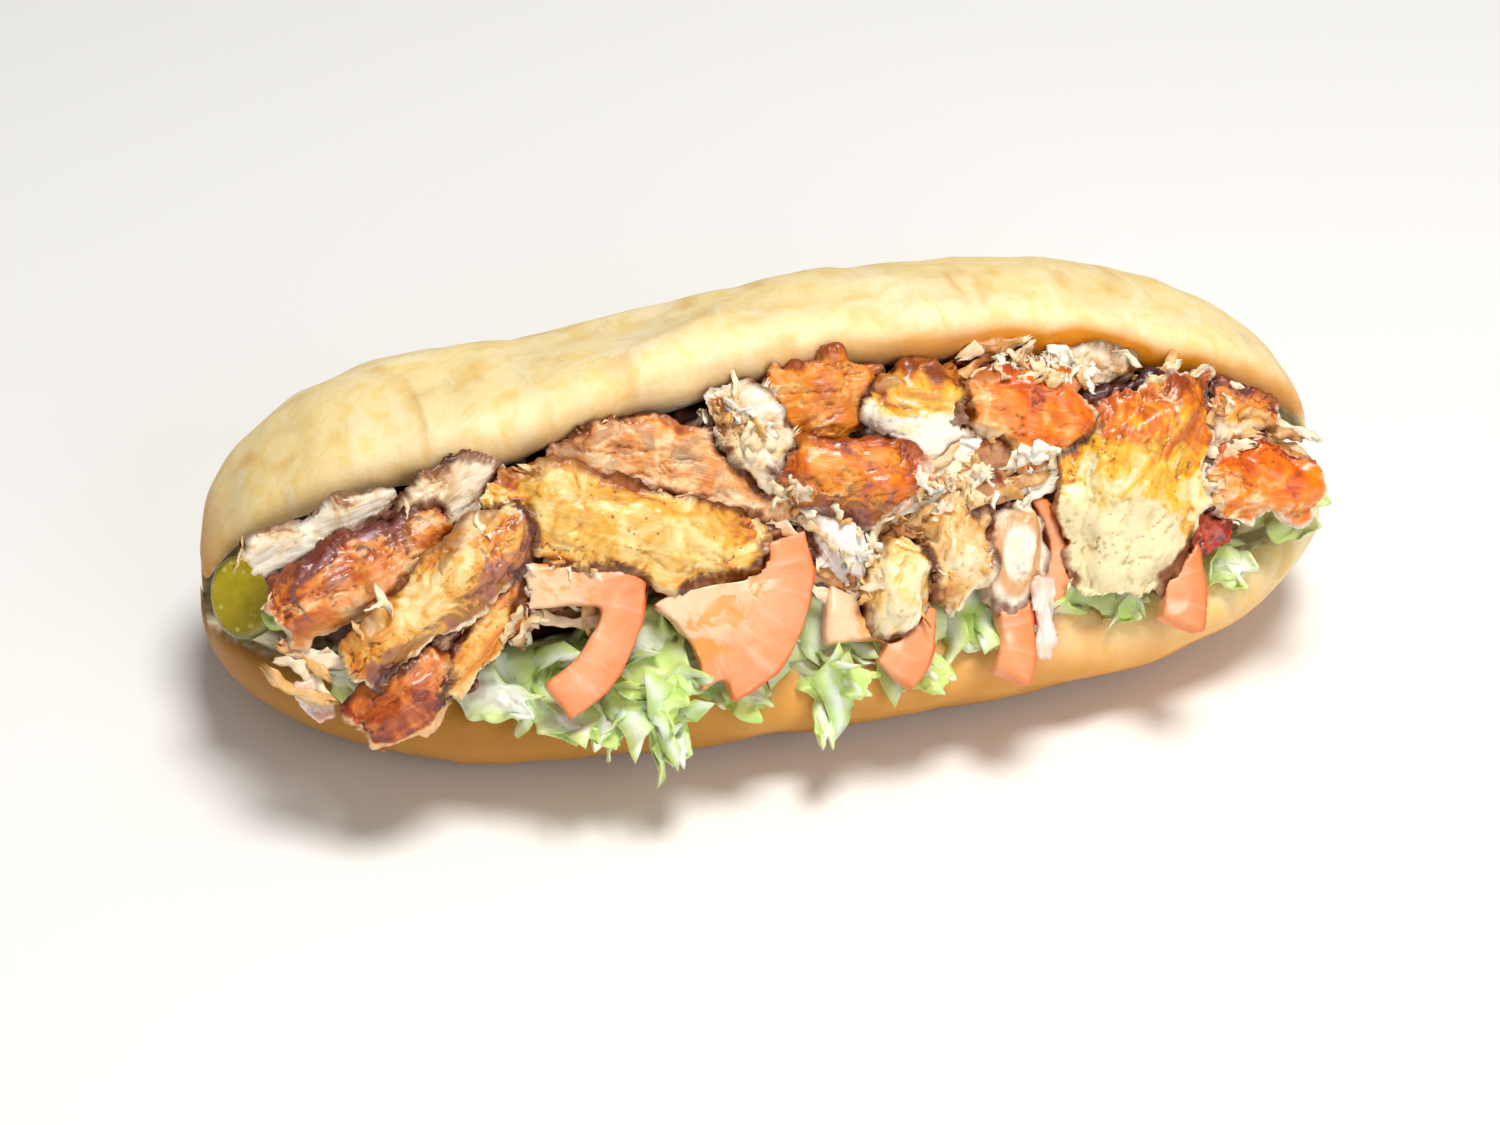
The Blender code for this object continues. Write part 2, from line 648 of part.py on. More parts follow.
def heap_section(x, from_s, to_s, front, low, high, count=8):
    """A closed outline at x: along the cavity's wall between two places, then across the front
    through points given as (up, out) at full size. It draws in where the heap ends."""
    k = taper(x)
    outline = [inside_wall(x, s, CAVITY_GAP) for s in spread(from_s, to_s, count)]
    basis = face_basis()
    centre = Vector((0, MOUTH_ORIGIN.y * k + bend(x), RISE_CENTRE + (MOUTH_ORIGIN.z - RISE_CENTRE) * k))
    for up, out in front:
        point = centre + basis @ Vector((0, up * k, out * k))
        outline.append(Vector((x, point.y, point.z)))
    middle = sum(outline, Vector()) / len(outline)
    left = min((x - low) / HEAP_ROUNDING, 1)
    right = min((high - x) / HEAP_ROUNDING, 1)
    share = 0.35 + 0.65 * (1 - (1 - min(left, right)) ** 2) ** 0.5
    return [middle + (point - middle) * share for point in outline]


def heap_core(name, low, high, from_s, to_s, front_at, steps=15):
    """The solid mass of a heap, from one x to another."""
    sections = []
    for x in spread(low, high, steps):
        sections.append(heap_section(x, from_s, to_s, front_at(x), low, high))
    return loft(name, sections)


def salad_front(x):
    """How far the bed of salad comes forward at x: onto the lip in the middle, less elsewhere."""
    show = step_up(x, -98, -60) * step_up(-x, -62, -30)
    lump = 1.5 * wobble((x, 0, 0), 14, 5)
    return ((-17, -16), (-16, -3 + lump), (-19, 0.5 + 1.5 * show), (-24 - 2 * show, -1 + 3 * show + lump),
            (-26 - 3 * show, -5 + 5 * show))


def meat_front(x):
    """How far the mass of chopped meat comes forward at x."""
    lump = 1.8 * wobble((x, 0, 0), 12, 8)
    return ((27, -1 + lump), (16, 2 + lump), (3, 3 - lump), (-8, 2.5), (-14, 0), (-15, -14))


def untrimmed_fillings():
    """(name, mesh) of each piece of filling, outermost first."""
    for number, piece in enumerate(CHICKEN):
        yield piece.name, placed(slab_mesh(piece, number + 3), piece)
    for piece in TOMATOES:
        yield piece.name, tomato_mesh(piece)
    yield "pickle", pickle_mesh()
    for number, (name, strip) in enumerate(ONIONS.items()):
        yield name, strip_mesh(strip, number + 1)
    yield "lettuce", heap_mesh(heap_core("lettuce", -98, 104, 0.11, 0.44, salad_front), LEAVES, 10)
    yield "meat_heap", heap_mesh(heap_core("meat_heap", -112, 112, 0.52, 0.965, meat_front), SHREDS, 40)


def make_sandwich():
    made = {"roll": roll_mesh()}
    for name, mesh in untrimmed_fillings():
        ways = SIMPLEST if name in ("lettuce", "meat_heap") else SIMPLER
        made[name] = trimmed(mesh, list(made.values()), ways)
    return made


COLOURS = {
    "roll": (0.86, 0.66, 0.33),
    "lettuce": (0.55, 0.70, 0.30),
    "meat_heap": (0.33, 0.13, 0.05),
    "tomato": (0.85, 0.27, 0.13),
    "chicken": (0.80, 0.45, 0.16),
    "pickle": (0.35, 0.40, 0.04),
    "onion": (0.85, 0.80, 0.70),
}


def colour_of(name):
    return COLOURS.get(name) or COLOURS[name.split("_")[0]]


def centring(meshes):
    """The move that sets the whole sandwich on the table, with its middle over the origin."""
    lows, highs = zip(*(corners(mesh) for mesh in meshes))
    low = Vector(min(point[i] for point in lows) for i in range(3))
    high = Vector(max(point[i] for point in highs) for i in range(3))
    return Matrix.Translation((-(low.x + high.x) / 2, -(low.y + high.y) / 2, -low.z))


def main():
    for obj in list(bpy.data.objects):
        bpy.data.objects.remove(obj)
    made = make_sandwich()
    move = centring(made.values())
    for name, mesh in made.items():
        mesh.transform(move)
        new_object(name, mesh, colour_of(name), 0.5)


if __name__ == "__main__":
    main()
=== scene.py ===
"""The looks of a doner kebab sandwich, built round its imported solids: the baked roll, slices of
roast chicken, chopped chicken, shredded lettuce, tomato, pickle and onion. Lengths are in metres
unless a name says mm."""

import json
import random
from math import cos, pi, radians, sin
from typing import NamedTuple

import bmesh
import bpy
import numpy as np
from bpy.props import FloatProperty, FloatVectorProperty, IntProperty, PointerProperty
from mathutils import Matrix, Vector, noise
from mathutils.bvhtree import BVHTree

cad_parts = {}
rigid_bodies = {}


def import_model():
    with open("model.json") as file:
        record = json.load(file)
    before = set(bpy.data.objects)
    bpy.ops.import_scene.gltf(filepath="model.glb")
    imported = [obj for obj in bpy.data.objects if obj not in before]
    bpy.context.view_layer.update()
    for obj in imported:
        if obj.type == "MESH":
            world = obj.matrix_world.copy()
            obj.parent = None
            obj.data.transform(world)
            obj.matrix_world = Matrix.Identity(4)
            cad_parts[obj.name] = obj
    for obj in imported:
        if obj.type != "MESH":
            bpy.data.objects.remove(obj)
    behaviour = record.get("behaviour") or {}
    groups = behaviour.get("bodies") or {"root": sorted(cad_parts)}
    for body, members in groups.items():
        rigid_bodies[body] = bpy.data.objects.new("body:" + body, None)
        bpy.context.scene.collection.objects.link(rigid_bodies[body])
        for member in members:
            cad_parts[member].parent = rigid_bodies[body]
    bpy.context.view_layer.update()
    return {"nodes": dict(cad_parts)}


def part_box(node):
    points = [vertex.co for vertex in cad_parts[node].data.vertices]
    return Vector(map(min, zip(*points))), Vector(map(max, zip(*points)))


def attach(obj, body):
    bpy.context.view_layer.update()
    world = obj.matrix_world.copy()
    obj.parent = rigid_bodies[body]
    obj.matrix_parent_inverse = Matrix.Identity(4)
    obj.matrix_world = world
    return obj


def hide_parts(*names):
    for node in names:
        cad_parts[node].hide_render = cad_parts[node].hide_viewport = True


bl_info = {
    "name": "Doner Kebab Sandwich",
    "version": (1, 0, 0),
    "blender": (4, 5, 0),
    "location": "3D Viewport > Sidebar > Kebab",
    "description": "Builds the bread, meat and salad of a filled roll around its solid model",
    "category": "Add Mesh",
}

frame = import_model()
MM = 0.001

# Sizes of the faces of the cores of meat and lettuce, and of the onion
CORE_STEP = 0.0012
ONION_STEP = 0.0004

# Points along each side of a patch for loose shreds, ribbons in each pulled shred, and shapes
# that each scatter picks from
PATCH_STEPS = 7
RIBBONS = 4
KINDS = 5

# How near another piece is, in metres, where painted shade darkens the meat and the roll where
# pieces meet
MEAT_STAIN = 3.2 * MM
HEAP_STAIN = 2.6 * MM
ROLL_STAIN = 7 * MM

# The open face of the filling, as the solids have it: along the roll, up the face and out of it
MOUTH_TILT = radians(54)
ALONG = Vector((1, 0, 0))
UP_FACE = Vector((0, cos(MOUTH_TILT), sin(MOUTH_TILT)))
OUT = ALONG.cross(UP_FACE)
MOUTH_ORIGIN = Vector((-0.002, -0.021373, 0.051))
FACE = Matrix.Translation(MOUTH_ORIGIN) @ Matrix((ALONG, UP_FACE, OUT)).transposed().to_4x4()

# The middle of the roll's hollow, across the roll and up
HOLLOW = (0.004, 0.044)

# The camera looks from the left and from above, as the photograph does
VIEW_TURN = radians(-14)
VIEW_HEIGHT = radians(38)
VIEW_DISTANCE = 0.765
VIEW_LENS = 85.0
VIEW_MIDDLE = Vector((-0.002, 0.004627, 0.0377))
MIDDLE_PIXEL = (760, 510)
IMAGE = (1500, 1125)


def tone(hex_code):
    """The linear colour of an sRGB hex code."""
    channels = [int(hex_code[start : start + 2], 16) / 255 for start in (0, 2, 4)]
    linear = [
        part / 12.92 if part <= 0.04045 else ((part + 0.055) / 1.055) ** 2.4 for part in channels
    ]
    return (*linear, 1.0)


class Roast(NamedTuple):
    """How one slice of chicken is coloured. pale, gold, sear and char are its tones, from the
    least to the most browned, and cut is the tone of its cut sides. start is how browned its
    middle is; far and upper add to that towards its far end and its upper side. plum is its share
    of purple glaze, dark maroon with paler mauve patches that are a painted sheen, on its upper
    side where plum_up is 1 and on its lower side where it is -1. pepper and ring are how strong
    its dark specks and its tan ring are."""

    pale: str
    gold: str
    sear: str
    char: str
    cut: str
    start: float
    far: float = 0.0
    upper: float = 0.0
    plum: float = 0.0
    plum_up: float = 0.0
    pepper: float = 0.35
    ring: float = 0.0


SLICES = {
    "chicken_long_bar": Roast(
        "F9E0A4", "F2AE44", "DC7E1E", "8A3A10", "F8E8C6", 0.38, 0.04, -0.22, 0.6, -1.4, 0.5
    ),
    "chicken_gold_bar": Roast(
        "FAE09A", "F3B64A", "DA8026", "7E3412", "F6E0B0", 0.34, 0.0, 0.05, 0.1, 1, 0.7
    ),
    "chicken_right_panel": Roast(
        "F8E8B8", "F3BE36", "E2720E", "A4440A", "F8EBCC", 0.25, 0.70, 0.04
    ),
    "chicken_diamond": Roast(
        "FBD490", "FA8E24", "EE6808", "A43A06", "F2DCB4", 0.48, 0.12, 0.16, 0.05
    ),
    "chicken_seared_wedge": Roast(
        "F6D898", "F2941E", "E06C0C", "8E340A", "F8EAD2", 0.54, 0, 0.14, 0.7, -1
    ),
    "chicken_red_flap": Roast("FBE6BC", "F98E12", "EC6402", "9A2E04", "FAEFDC", 0.48, 0.12, 0.34),
    "chicken_orange_edge": Roast("F6D48C", "F0A236", "DA7216", "8A2E0A", "F8E2B4", 0.42, 0, 0.05),
    "chicken_left_panel": Roast(
        "FAD6A0", "EE9444", "CC621C", "6A2418", "F8DCBA", 0.36, -0.05, 0.30, 0.8, 1.1
    ),
    "chicken_spotted_chunk": Roast(
        "F6C88C", "E08030", "AC480C", "681C06", "F4C48C", 0.56, -0.05, 0.05
    ),
    "chicken_grey_middle": Roast(
        "F2CEA4", "DCA276", "B4703E", "6A3A30", "F2D4AA", 0.36, 0, 0, 0.45
    ),
    "chicken_rosy_slice": Roast(
        "FAD8A8", "F4A45A", "DA7A34", "702C1C", "F6D6AE", 0.32, 0, 0.05, 0.4, 0.6
    ),
    "chicken_egg_round": Roast("FBF0DC", "F2DCB4", "CE9450", "8A4A24", "FAF2E2", 0.20, ring=0.85),
    "chicken_yellow_chunk": Roast("FBEBC2", "F8D07A", "E4A648", "9A5A24", "FCEECC", 0.24, 0, 0.1),
    "chicken_folded_piece": Roast(
        "F8E6BC", "ECB668", "C47C36", "6A3618", "FAECCC", 0.36, 0, 0, 0.1
    ),
    "chicken_white_chunk": Roast("F4EEE8", "E8D4BC", "C09468", "7A4028", "F6F1EA", 0.20),
    "chicken_white_curl": Roast("FAF2E0", "ECCB98", "B8702E", "5E2812", "FBF5E8", 0.30),
    "chicken_top_orange": Roast(
        "F6CE88", "EE902C", "D66C10", "7E300A", "F5DAB4", 0.46, 0, 0.1, 0.15
    ),
    "chicken_cream_top": Roast("FAF3E0", "F6C244", "E6881C", "8A3E12", "F9F2E0", 0.22, -0.05, 0.50),
    "chicken_dark_rim": Roast("B08060", "8A4A3A", "5A2630", "301018", "9A5A48", 0.60, 0, 0, 0.9),
    "chicken_far_rim": Roast("F6E0BE", "F2A640", "DC7022", "6A2810", "F6E6CC", 0.40, 0, 0.35),
    "chicken_deep_red": Roast("E07A48", "D0461E", "A22A10", "500E08", "C8441C", 0.55),
    "chicken_red_scrap": Roast("F6E0C4", "F07638", "D04418", "6A180C", "F7E8D6", 0.42),
    "chicken_curled_scrap": Roast("F6E6CC", "DDAE74", "B06C38", "552614", "F8ECD8", 0.32),
    "chicken_pale_wedge": Roast("F8E8CC", "E4C08C", "AA7240", "4A2014", "F8EAD0", 0.24, 0, 0.1),
    "chicken_pale_sliver": Roast("FAF0DC", "E8C898", "AA6E40", "6A3018", "FAF2E2", 0.20, 0, 0.1),
}


class Loose(NamedTuple):
    """Loose shreds of chicken that lie round a place on the open face, in mm: along and up it,
    with the half sizes and the turn of the patch that they cover. brown is 0 for the whitest."""

    along: float
    up: float
    long: float
    wide: float
    turn: float
    count: int
    brown: float


LOOSE = (
    Loose(-8, 21, 9, 4, -50, 15, 0.05),
    Loose(40, 5, 17, 4, 8, 22, 0.1),
    Loose(57, 26, 11, 3, -6, 15, 0.1),
    Loose(98, 11, 8, 3, -15, 8, 0.3),
    Loose(10, -3, 6, 3.5, -50, 9, 0.0),
    Loose(9, -14, 5, 2, -10, 5, 0.6),
    Loose(28, -2, 7, 2, 10, 6, 0.5),
    Loose(-58, -6, 7, 3, 60, 10, 0.1),
    Loose(-48, -1, 5, 2, -20, 4, 0.6),
    Loose(-103, -9, 4, 2, -50, 4, 0.3),
    Loose(0, 7, 5, 2, -60, 6, 0.35),
    Loose(88, -3, 4, 5, 70, 5, 0.7),
)


class Shred(NamedTuple):
    """A pulled shred of chicken between two places on the open face, each (along, up, out) in
    mm, where the solid heap has a strip. brown is 0 for the whitest."""

    first: tuple
    last: tuple
    width: float
    brown: float


SHREDS = (
    Shred((-14, 18, 6), (-3, 31, 8), 6, 0.0),
    Shred((-3, 14, 7), (4, 20, 9), 6, 0.0),
    Shred((38, 29, 5), (54, 33, 5), 6, 0.3),
    Shred((57, 28, 5), (66, 21, 7), 6, 0.0),
    Shred((1, 4, 6), (10, -1, 8), 6, 0.0),
    Shred((2, -8, 5), (14, -14, 7), 7, 0.3),
    Shred((44, 0, 6), (60, 6, 8), 7, 0.0),
    Shred((16, 1, 5), (44, 3, 9), 8, 0.3),
    Shred((20, 6, 6), (50, 12, 9), 8, 0.0),
    Shred((18, 14, 5), (44, 9, 9), 7, 0.0),
    Shred((34, 2, 5), (58, 9, 8), 7, 0.3),
    Shred((86, 8, 4), (99, 3, 8), 8, 0.3),
    Shred((76, 18, 5), (90, 22, 6), 6, 0.3),
    Shred((-58, 6, 3), (-44, -4, 4), 8, 0.3),
    Shred((-56, -4, 3), (-40, -9, 4), 8, 0.0),
    Shred((-109, -8, 2), (-98, -17, 4), 8, 0.3),
    Shred((-12, 2, 4), (2, -6, 5), 8, 0.3),
    Shred((104, 8, 3), (112, 0, 3), 7, 0.3),
)

# How the chopped heap under the slices is coloured: dark, partly its own roast browning and partly
# painted shade for the gaps between the slices
HEAP = Roast("C08048", "8E4418", "5A1E0A", "2C0C06", "C89060", 0.55, 0, 0, 0.2)

# Tones of the pulled and the loose shreds, from the palest to the most browned, and the share of
# browning from which a shred counts as brown
SHRED_TONES = {
    "white": ("FDF8EA", "F8E4BC", "DEA24C"),
    "brown": ("FAEACC", "ECBA74", "B0682A"),
}
BROWN_FROM = 0.25

# Middle of each round that a tomato slice was cut from, (along, up) on the open face in mm, with
# its radius
ROUNDS = {
    "tomato_left": (-64, -2, 31),
    "tomato_wide": (-26, -5, 28),
    "tomato_low": (1, -17, 26),
    "tomato_hanging_strip": (22, -25, 25),
    "tomato_right_strip": (56, -20, 29),
    "tomato_tucked": (42, -12, 16),
}


# The pickle's cut face looks this way, and its radius is in mm
PICKLE_FACING = np.array(Vector((-0.55, -0.6, 0.55)).normalized())
PICKLE_RADIUS = 9


class Leaf(NamedTuple):
    """A shred of lettuce between two places on the open face, each (along, up, out) in mm."""

    first: tuple
    last: tuple
    width: float
    ruffle: float = 2.2
    lime: float = 0.4


# In the places where the solid bed of lettuce has its leaves
LEAVES = (
    Leaf((-42, -12, -6), (-24, -26, 8), 16, 2.6, 0.35),
    Leaf((-50, -18, -6), (-30, -33, 8), 13, 2.6, 0.6),
    Leaf((-34, -14, -6), (-31, -43, 7), 9, 1.8, 0.2),
    Leaf((-26, -18, -6), (-12, -34, 7), 11, 2.0, 0.5),
    Leaf((-36, -22, -6), (-47, -37, 6), 10, 1.8, 0.25),
    Leaf((-78, -17, -5), (-60, -28, 6), 10, 1.0, 0.1),
    Leaf((-12, -22, -6), (10, -34, 7), 10, 1.8, 0.45),
    Leaf((25, -16, -6), (43, -29, 6), 11, 1.8, 0.1),
    Leaf((98, -4, -12), (115, -13, 0), 15, 2.0, 0.5),
    Leaf((4, -22, -6), (0, -44, 7), 5, 1.2, 0.3),
    Leaf((-108, 4, -12), (-100, -6, -2), 9, 1.4, 0.6),
    Leaf((-62, -18, -6), (-50, -35, 6), 10, 1.6, 0.3),
    Leaf((12, -22, -6), (27, -36, 5), 10, 1.6, 0.3),
    Leaf((58, -17, -7), (72, -27, 2), 10, 1.8, 0.3),
    Leaf((84, -14, -8), (97, -24, 1), 10, 1.8, 0.3),
    Leaf((-98, -14, -8), (-84, -26, 2), 9, 1.6, 0.3),
)


class RollSettings(bpy.types.PropertyGroup):
    """Sizes and tones of the roll"""

    golden: FloatVectorProperty(
        name="Golden crust", description="The crust's main tone", subtype="COLOR",
        size=4, min=0, max=1, default=tone("FCE4A6"),
    )
    cream: FloatVectorProperty(
        name="Pale crust", description="The least baked parts", subtype="COLOR",
        size=4, min=0, max=1, default=tone("FDF2CA"),
    )
    ochre: FloatVectorProperty(
        name="Ochre blotches", description="The browner blotches of the crust", subtype="COLOR",
        size=4, min=0, max=1, default=tone("E9BC68"),
    )
    # Mixed in low on the roll and towards its left end, partly as baking and partly as painted
    # shade
    brown: FloatVectorProperty(
        name="Browned heel", description="The well baked lower edge", subtype="COLOR",
        size=4, min=0, max=1, default=tone("B27824"),
    )
    crumb: FloatVectorProperty(
        name="Crumb", description="The soft inside of the roll", subtype="COLOR",
        size=4, min=0, max=1, default=tone("FBF0CE"),
    )
    grain: FloatProperty(
        name="Mesh step", description="Size of the faces of the roll", unit="LENGTH", default=0.0013
    )
    wrinkle: FloatProperty(
        name="Wrinkle depth", description="Depth of the crust's soft wrinkles", unit="LENGTH",
        default=0.0005,
    )


class MeatSettings(bpy.types.PropertyGroup):
    """Sizes of the chicken's faces and relief, and how much of it is loose"""

    grain: FloatProperty(
        name="Mesh step", description="Size of the faces of the meat", unit="LENGTH", default=0.0005
    )
    flake: FloatProperty(
        name="Flake height", description="Height of the steps between flakes", unit="LENGTH",
        default=0.00035,
    )
    fibre: FloatProperty(
        name="Fibre depth", description="Height of the fine fibres", unit="LENGTH", default=0.00022
    )
    lumps: FloatProperty(
        name="Lump height", description="Height of the meat's uneven lumps", unit="LENGTH",
        default=0.0011,
    )
    fray: FloatProperty(
        name="Fray depth", description="Depth of the torn edges", unit="LENGTH", default=0.0013
    )
    threads: IntProperty(
        name="Frayed fibres", description="Frayed fibres for each square metre of cut side",
        default=10000,
    )
    bits: IntProperty(
        name="Chopped bits", description="Chopped bits for each square metre", default=5500
    )


class SaladSettings(bpy.types.PropertyGroup):
    """Sizes and tones of the salad"""

    grain: FloatProperty(
        name="Mesh step", description="Size of the faces of the tomato", unit="LENGTH",
        default=0.0006,
    )
    shreds: IntProperty(
        name="Lettuce shreds", description="Shreds for each square metre of the bed", default=16000
    )
    leaf_pale: FloatVectorProperty(
        name="Pale leaf", description="Ribs and heart of the lettuce", subtype="COLOR",
        size=4, min=0, max=1, default=tone("F8FBEC"),
    )
    leaf_lime: FloatVectorProperty(
        name="Lime leaf", description="Outer edges of the lettuce", subtype="COLOR",
        size=4, min=0, max=1, default=tone("D2EC84"),
    )


class StageSettings(bpy.types.PropertyGroup):
    """The floor and the lights"""

    floor: FloatVectorProperty(
        name="Floor", description="Tone of the floor", subtype="COLOR",
        size=4, min=0, max=1, default=tone("FAF9F6"),
    )
    key: FloatProperty(
        name="Key light", description="Power of the main light in watts", default=13.6
    )
    fill: FloatProperty(
        name="Fill light", description="Power of the side light in watts", default=5.0
    )
    sky: FloatProperty(name="Sky", description="Strength of the light from all round", default=0.2)


class KebabSettings(bpy.types.PropertyGroup):
    """The settings of the whole sandwich"""

    roll: PointerProperty(type=RollSettings)
    meat: PointerProperty(type=MeatSettings)
    salad: PointerProperty(type=SaladSettings)
    stage: PointerProperty(type=StageSettings)


# Node graphs, for materials and for Geometry Nodes


class Value:
    """A value in a node graph. Its operators add Math nodes."""

    def __init__(self, graph, socket):
        self.graph = graph
        self.socket = socket

    def __add__(self, other):
        return self.graph.math("ADD", self, other)

    def __radd__(self, other):
        return self.graph.math("ADD", other, self)

    def __sub__(self, other):
        return self.graph.math("SUBTRACT", self, other)

    def __rsub__(self, other):
        return self.graph.math("SUBTRACT", other, self)

    def __mul__(self, other):
        return self.graph.math("MULTIPLY", self, other)

    def __rmul__(self, other):
        return self.graph.math("MULTIPLY", other, self)

    def __pow__(self, other):
        return self.graph.math("POWER", self, other)

    def size(self):
        return self.graph.math("ABSOLUTE", self, 0.0)

    def least(self, other):
        return self.graph.math("MINIMUM", self, other)

    def most(self, other):
        return self.graph.math("MAXIMUM", self, other)

    def rise(self, low, high):
        """0 below low and 1 above high, with a smooth step between."""
        return self.graph.value(
            "ShaderNodeMapRange",
            {"interpolation_type": "SMOOTHSTEP"},
            {"Value": self, "From Min": low, "From Max": high},
        )

    def mix(self, none, full):
        """The colour that goes from none to full as this value goes from 0 to 1."""
        return self.graph.value(
            "ShaderNodeMix", {"data_type": "RGBA"}, {0: self, 6: none, 7: full}, output=2
        )


class Graph:
    """A node tree, with one method that adds any node."""

    def __init__(self, tree):
        self.tree = tree

    def feed(self, socket, value):
        if isinstance(value, Value):
            value = value.socket
        if isinstance(value, bpy.types.NodeSocket):
            self.tree.links.new(value, socket)
        else:
            socket.default_value = value

    def node(self, kind, settings=None, inputs=None):
        node = self.tree.nodes.new(kind)
        for name, value in (settings or {}).items():
            if name == "stops":
                self.set_stops(node.color_ramp, value)
            else:
                setattr(node, name, value)
        for key, value in (inputs or {}).items():
            self.feed(node.inputs[key], value)
        return node

    def value(self, kind, settings=None, inputs=None, output=0):
        return Value(self, self.node(kind, settings, inputs).outputs[output])

    @staticmethod
    def set_stops(ramp, stops):
        while len(ramp.elements) < len(stops):
            ramp.elements.new(0.5)
        for element, (place, colour) in zip(ramp.elements, stops):
            element.position = place
            element.color = colour

    def math(self, operation, first, second):
        return self.value("ShaderNodeMath", {"operation": operation}, {0: first, 1: second})

    def stretch(self, vector, factors):
        """The vector with each of its parts multiplied by its own factor."""
        return self.value(
            "ShaderNodeVectorMath", {"operation": "MULTIPLY"}, {0: vector, 1: factors}
        )

    def part(self, vector, axis):
        """One part of a vector: 0, 1 or 2 for x, y or z."""
        return self.value("ShaderNodeSeparateXYZ", None, {0: vector}, output=axis)

    def attribute(self, name, output="Vector"):
        return self.value("ShaderNodeAttribute", {"attribute_name": name}, None, output)

    def place(self):
        """Object coordinates in millimetres."""
        spot = self.value("ShaderNodeTexCoord", None, None, "Object")
        return self.stretch(spot, (1000, 1000, 1000))

    def noise(self, vector, size_mm, detail=3.0, rough=0.55, twist=0.0):
        """Soft noise from 0 to 1 with lumps of about that size, on a vector in millimetres."""
        return self.value(
            "ShaderNodeTexNoise",
            None,
            {"Vector": vector, "Scale": 1 / size_mm, "Detail": detail, "Roughness": rough,
             "Distortion": twist},
        )

    def cells(self, vector, size_mm):
        """How far each point is from the middle of its cell, with cells of about that size."""
        return self.value(
            "ShaderNodeTexVoronoi", {"feature": "F1"}, {"Vector": vector, "Scale": 1 / size_mm}
        )

    def ramp(self, value, stops):
        return self.value("ShaderNodeValToRGB", {"stops": stops}, {0: value})

    def bump(self, height, depth_mm, strength):
        return self.value(
            "ShaderNodeBump", None,
            {"Height": height, "Distance": depth_mm * MM, "Strength": strength},
        )


def finish_material(name, build, **constants):
    """A Principled material. build gets its graph and returns the values that feed its sockets;
    the constants are set on the others."""
    material = bpy.data.materials.new(name)
    material.use_nodes = True
    graph = Graph(material.node_tree)
    shader = material.node_tree.nodes["Principled BSDF"]
    for key, value in constants.items():
        shader.inputs[key.replace("_", " ").title().replace("Ior", "IOR")].default_value = value
    for key, value in build(graph).items():
        graph.feed(shader.inputs[key], value)
    return material


# Materials


def crust_material(settings):
    """Soft baked crust outside, open crumb inside, with painted shade low on the roll, towards its
    left end, in the crumb's pores, on the underside of the crown and where the filling touches it.
    """

    def build(g):
        spot = g.place()
        height, run = g.part(spot, 2), g.part(spot, 0)
        inside = g.attribute("inside", "Fac")
        lip = g.attribute("lip", "Fac")
        wide = g.noise(spot, 38, 2, 0.5, 0.4)
        middle = g.noise(spot, 13, 4, 0.6, 0.6)
        fine = g.noise(spot, 2.6, 4, 0.65)
        colour = (wide * 0.8 + middle * 0.5).rise(0.55, 0.85).mix(settings.golden, settings.cream)
        crease = g.noise(g.stretch(spot, (1.0, 0.35, 0.35)), 7, 3, 0.6, 0.8)
        blotch = (middle * 0.65 + crease * 0.2 + fine * 0.15).rise(0.42, 0.68) * 0.65
        colour = blotch.mix(colour, settings.ochre)
        yellow = g.noise(spot, 8, 3, 0.6, 0.8).rise(0.5, 0.66) * 0.55
        colour = yellow.mix(colour, tone("F6D070"))
        colour = (crease.rise(0.52, 0.68) * 0.5).mix(colour, settings.cream)
        fold = (g.noise(g.stretch(spot, (1.0, 0.3, 0.3)), 26, 2, 0.45, 0.3) - 0.5).size()
        fold = (1 - fold.rise(0.0, 0.055)) * g.noise(spot, 17, 2, 0.5).rise(0.5, 0.64)
        colour = (fold * 0.5).mix(colour, tone("E6B050"))
        # Browner and warmer low on the roll and towards its left end: partly the crust's own
        # baking, partly painted shade on the lower and left parts.
        baked = (42 - height) * 0.034 - run * 0.0050 + (wide - 0.5) * 0.7 + (middle - 0.5) * 0.3
        warm = baked.rise(-0.1, 0.7) * 0.9
        colour = warm.mix(colour, tone("E89E3A"))
        colour = baked.rise(0.45, 1.15).mix(colour, settings.brown)
        # Painted orange-gold shade on the underside of the crown and where the filling touches the
        # roll, stronger towards the right end.
        stain = g.attribute("touch", "Fac") * height.rise(43, 50)
        edge = (lip * 0.75 + stain).least(1.0) * (run.rise(-20, 60) * 0.75 + 0.25)
        colour = edge.mix(colour, tone("E28C12"))
        colour = (fine.rise(0.62, 0.76) * 0.15).mix(colour, tone("C98B3C"))
        # The crumb is darker in the middles of its pores, as painted shade in the holes.
        pores = g.cells(spot, 1.9)
        crumb = pores.rise(0.15, 0.75).mix(tone("E9CF93"), settings.crumb)
        colour = (inside * (1 - edge)).mix(colour, crumb)
        relief = fine * 0.5 + middle * 0.8 + crease * 1.2 - fold * 0.5
        relief = relief * (1 - inside) + inside * (pores * 1.4 + fine)
        return {
            "Base Color": colour,
            "Roughness": 0.46 + fine * 0.2 + inside * 0.25,
            "Normal": g.bump(relief, 0.5, 0.55),
        }

    return finish_material("baked crust", build, specular_ior_level=0.35)


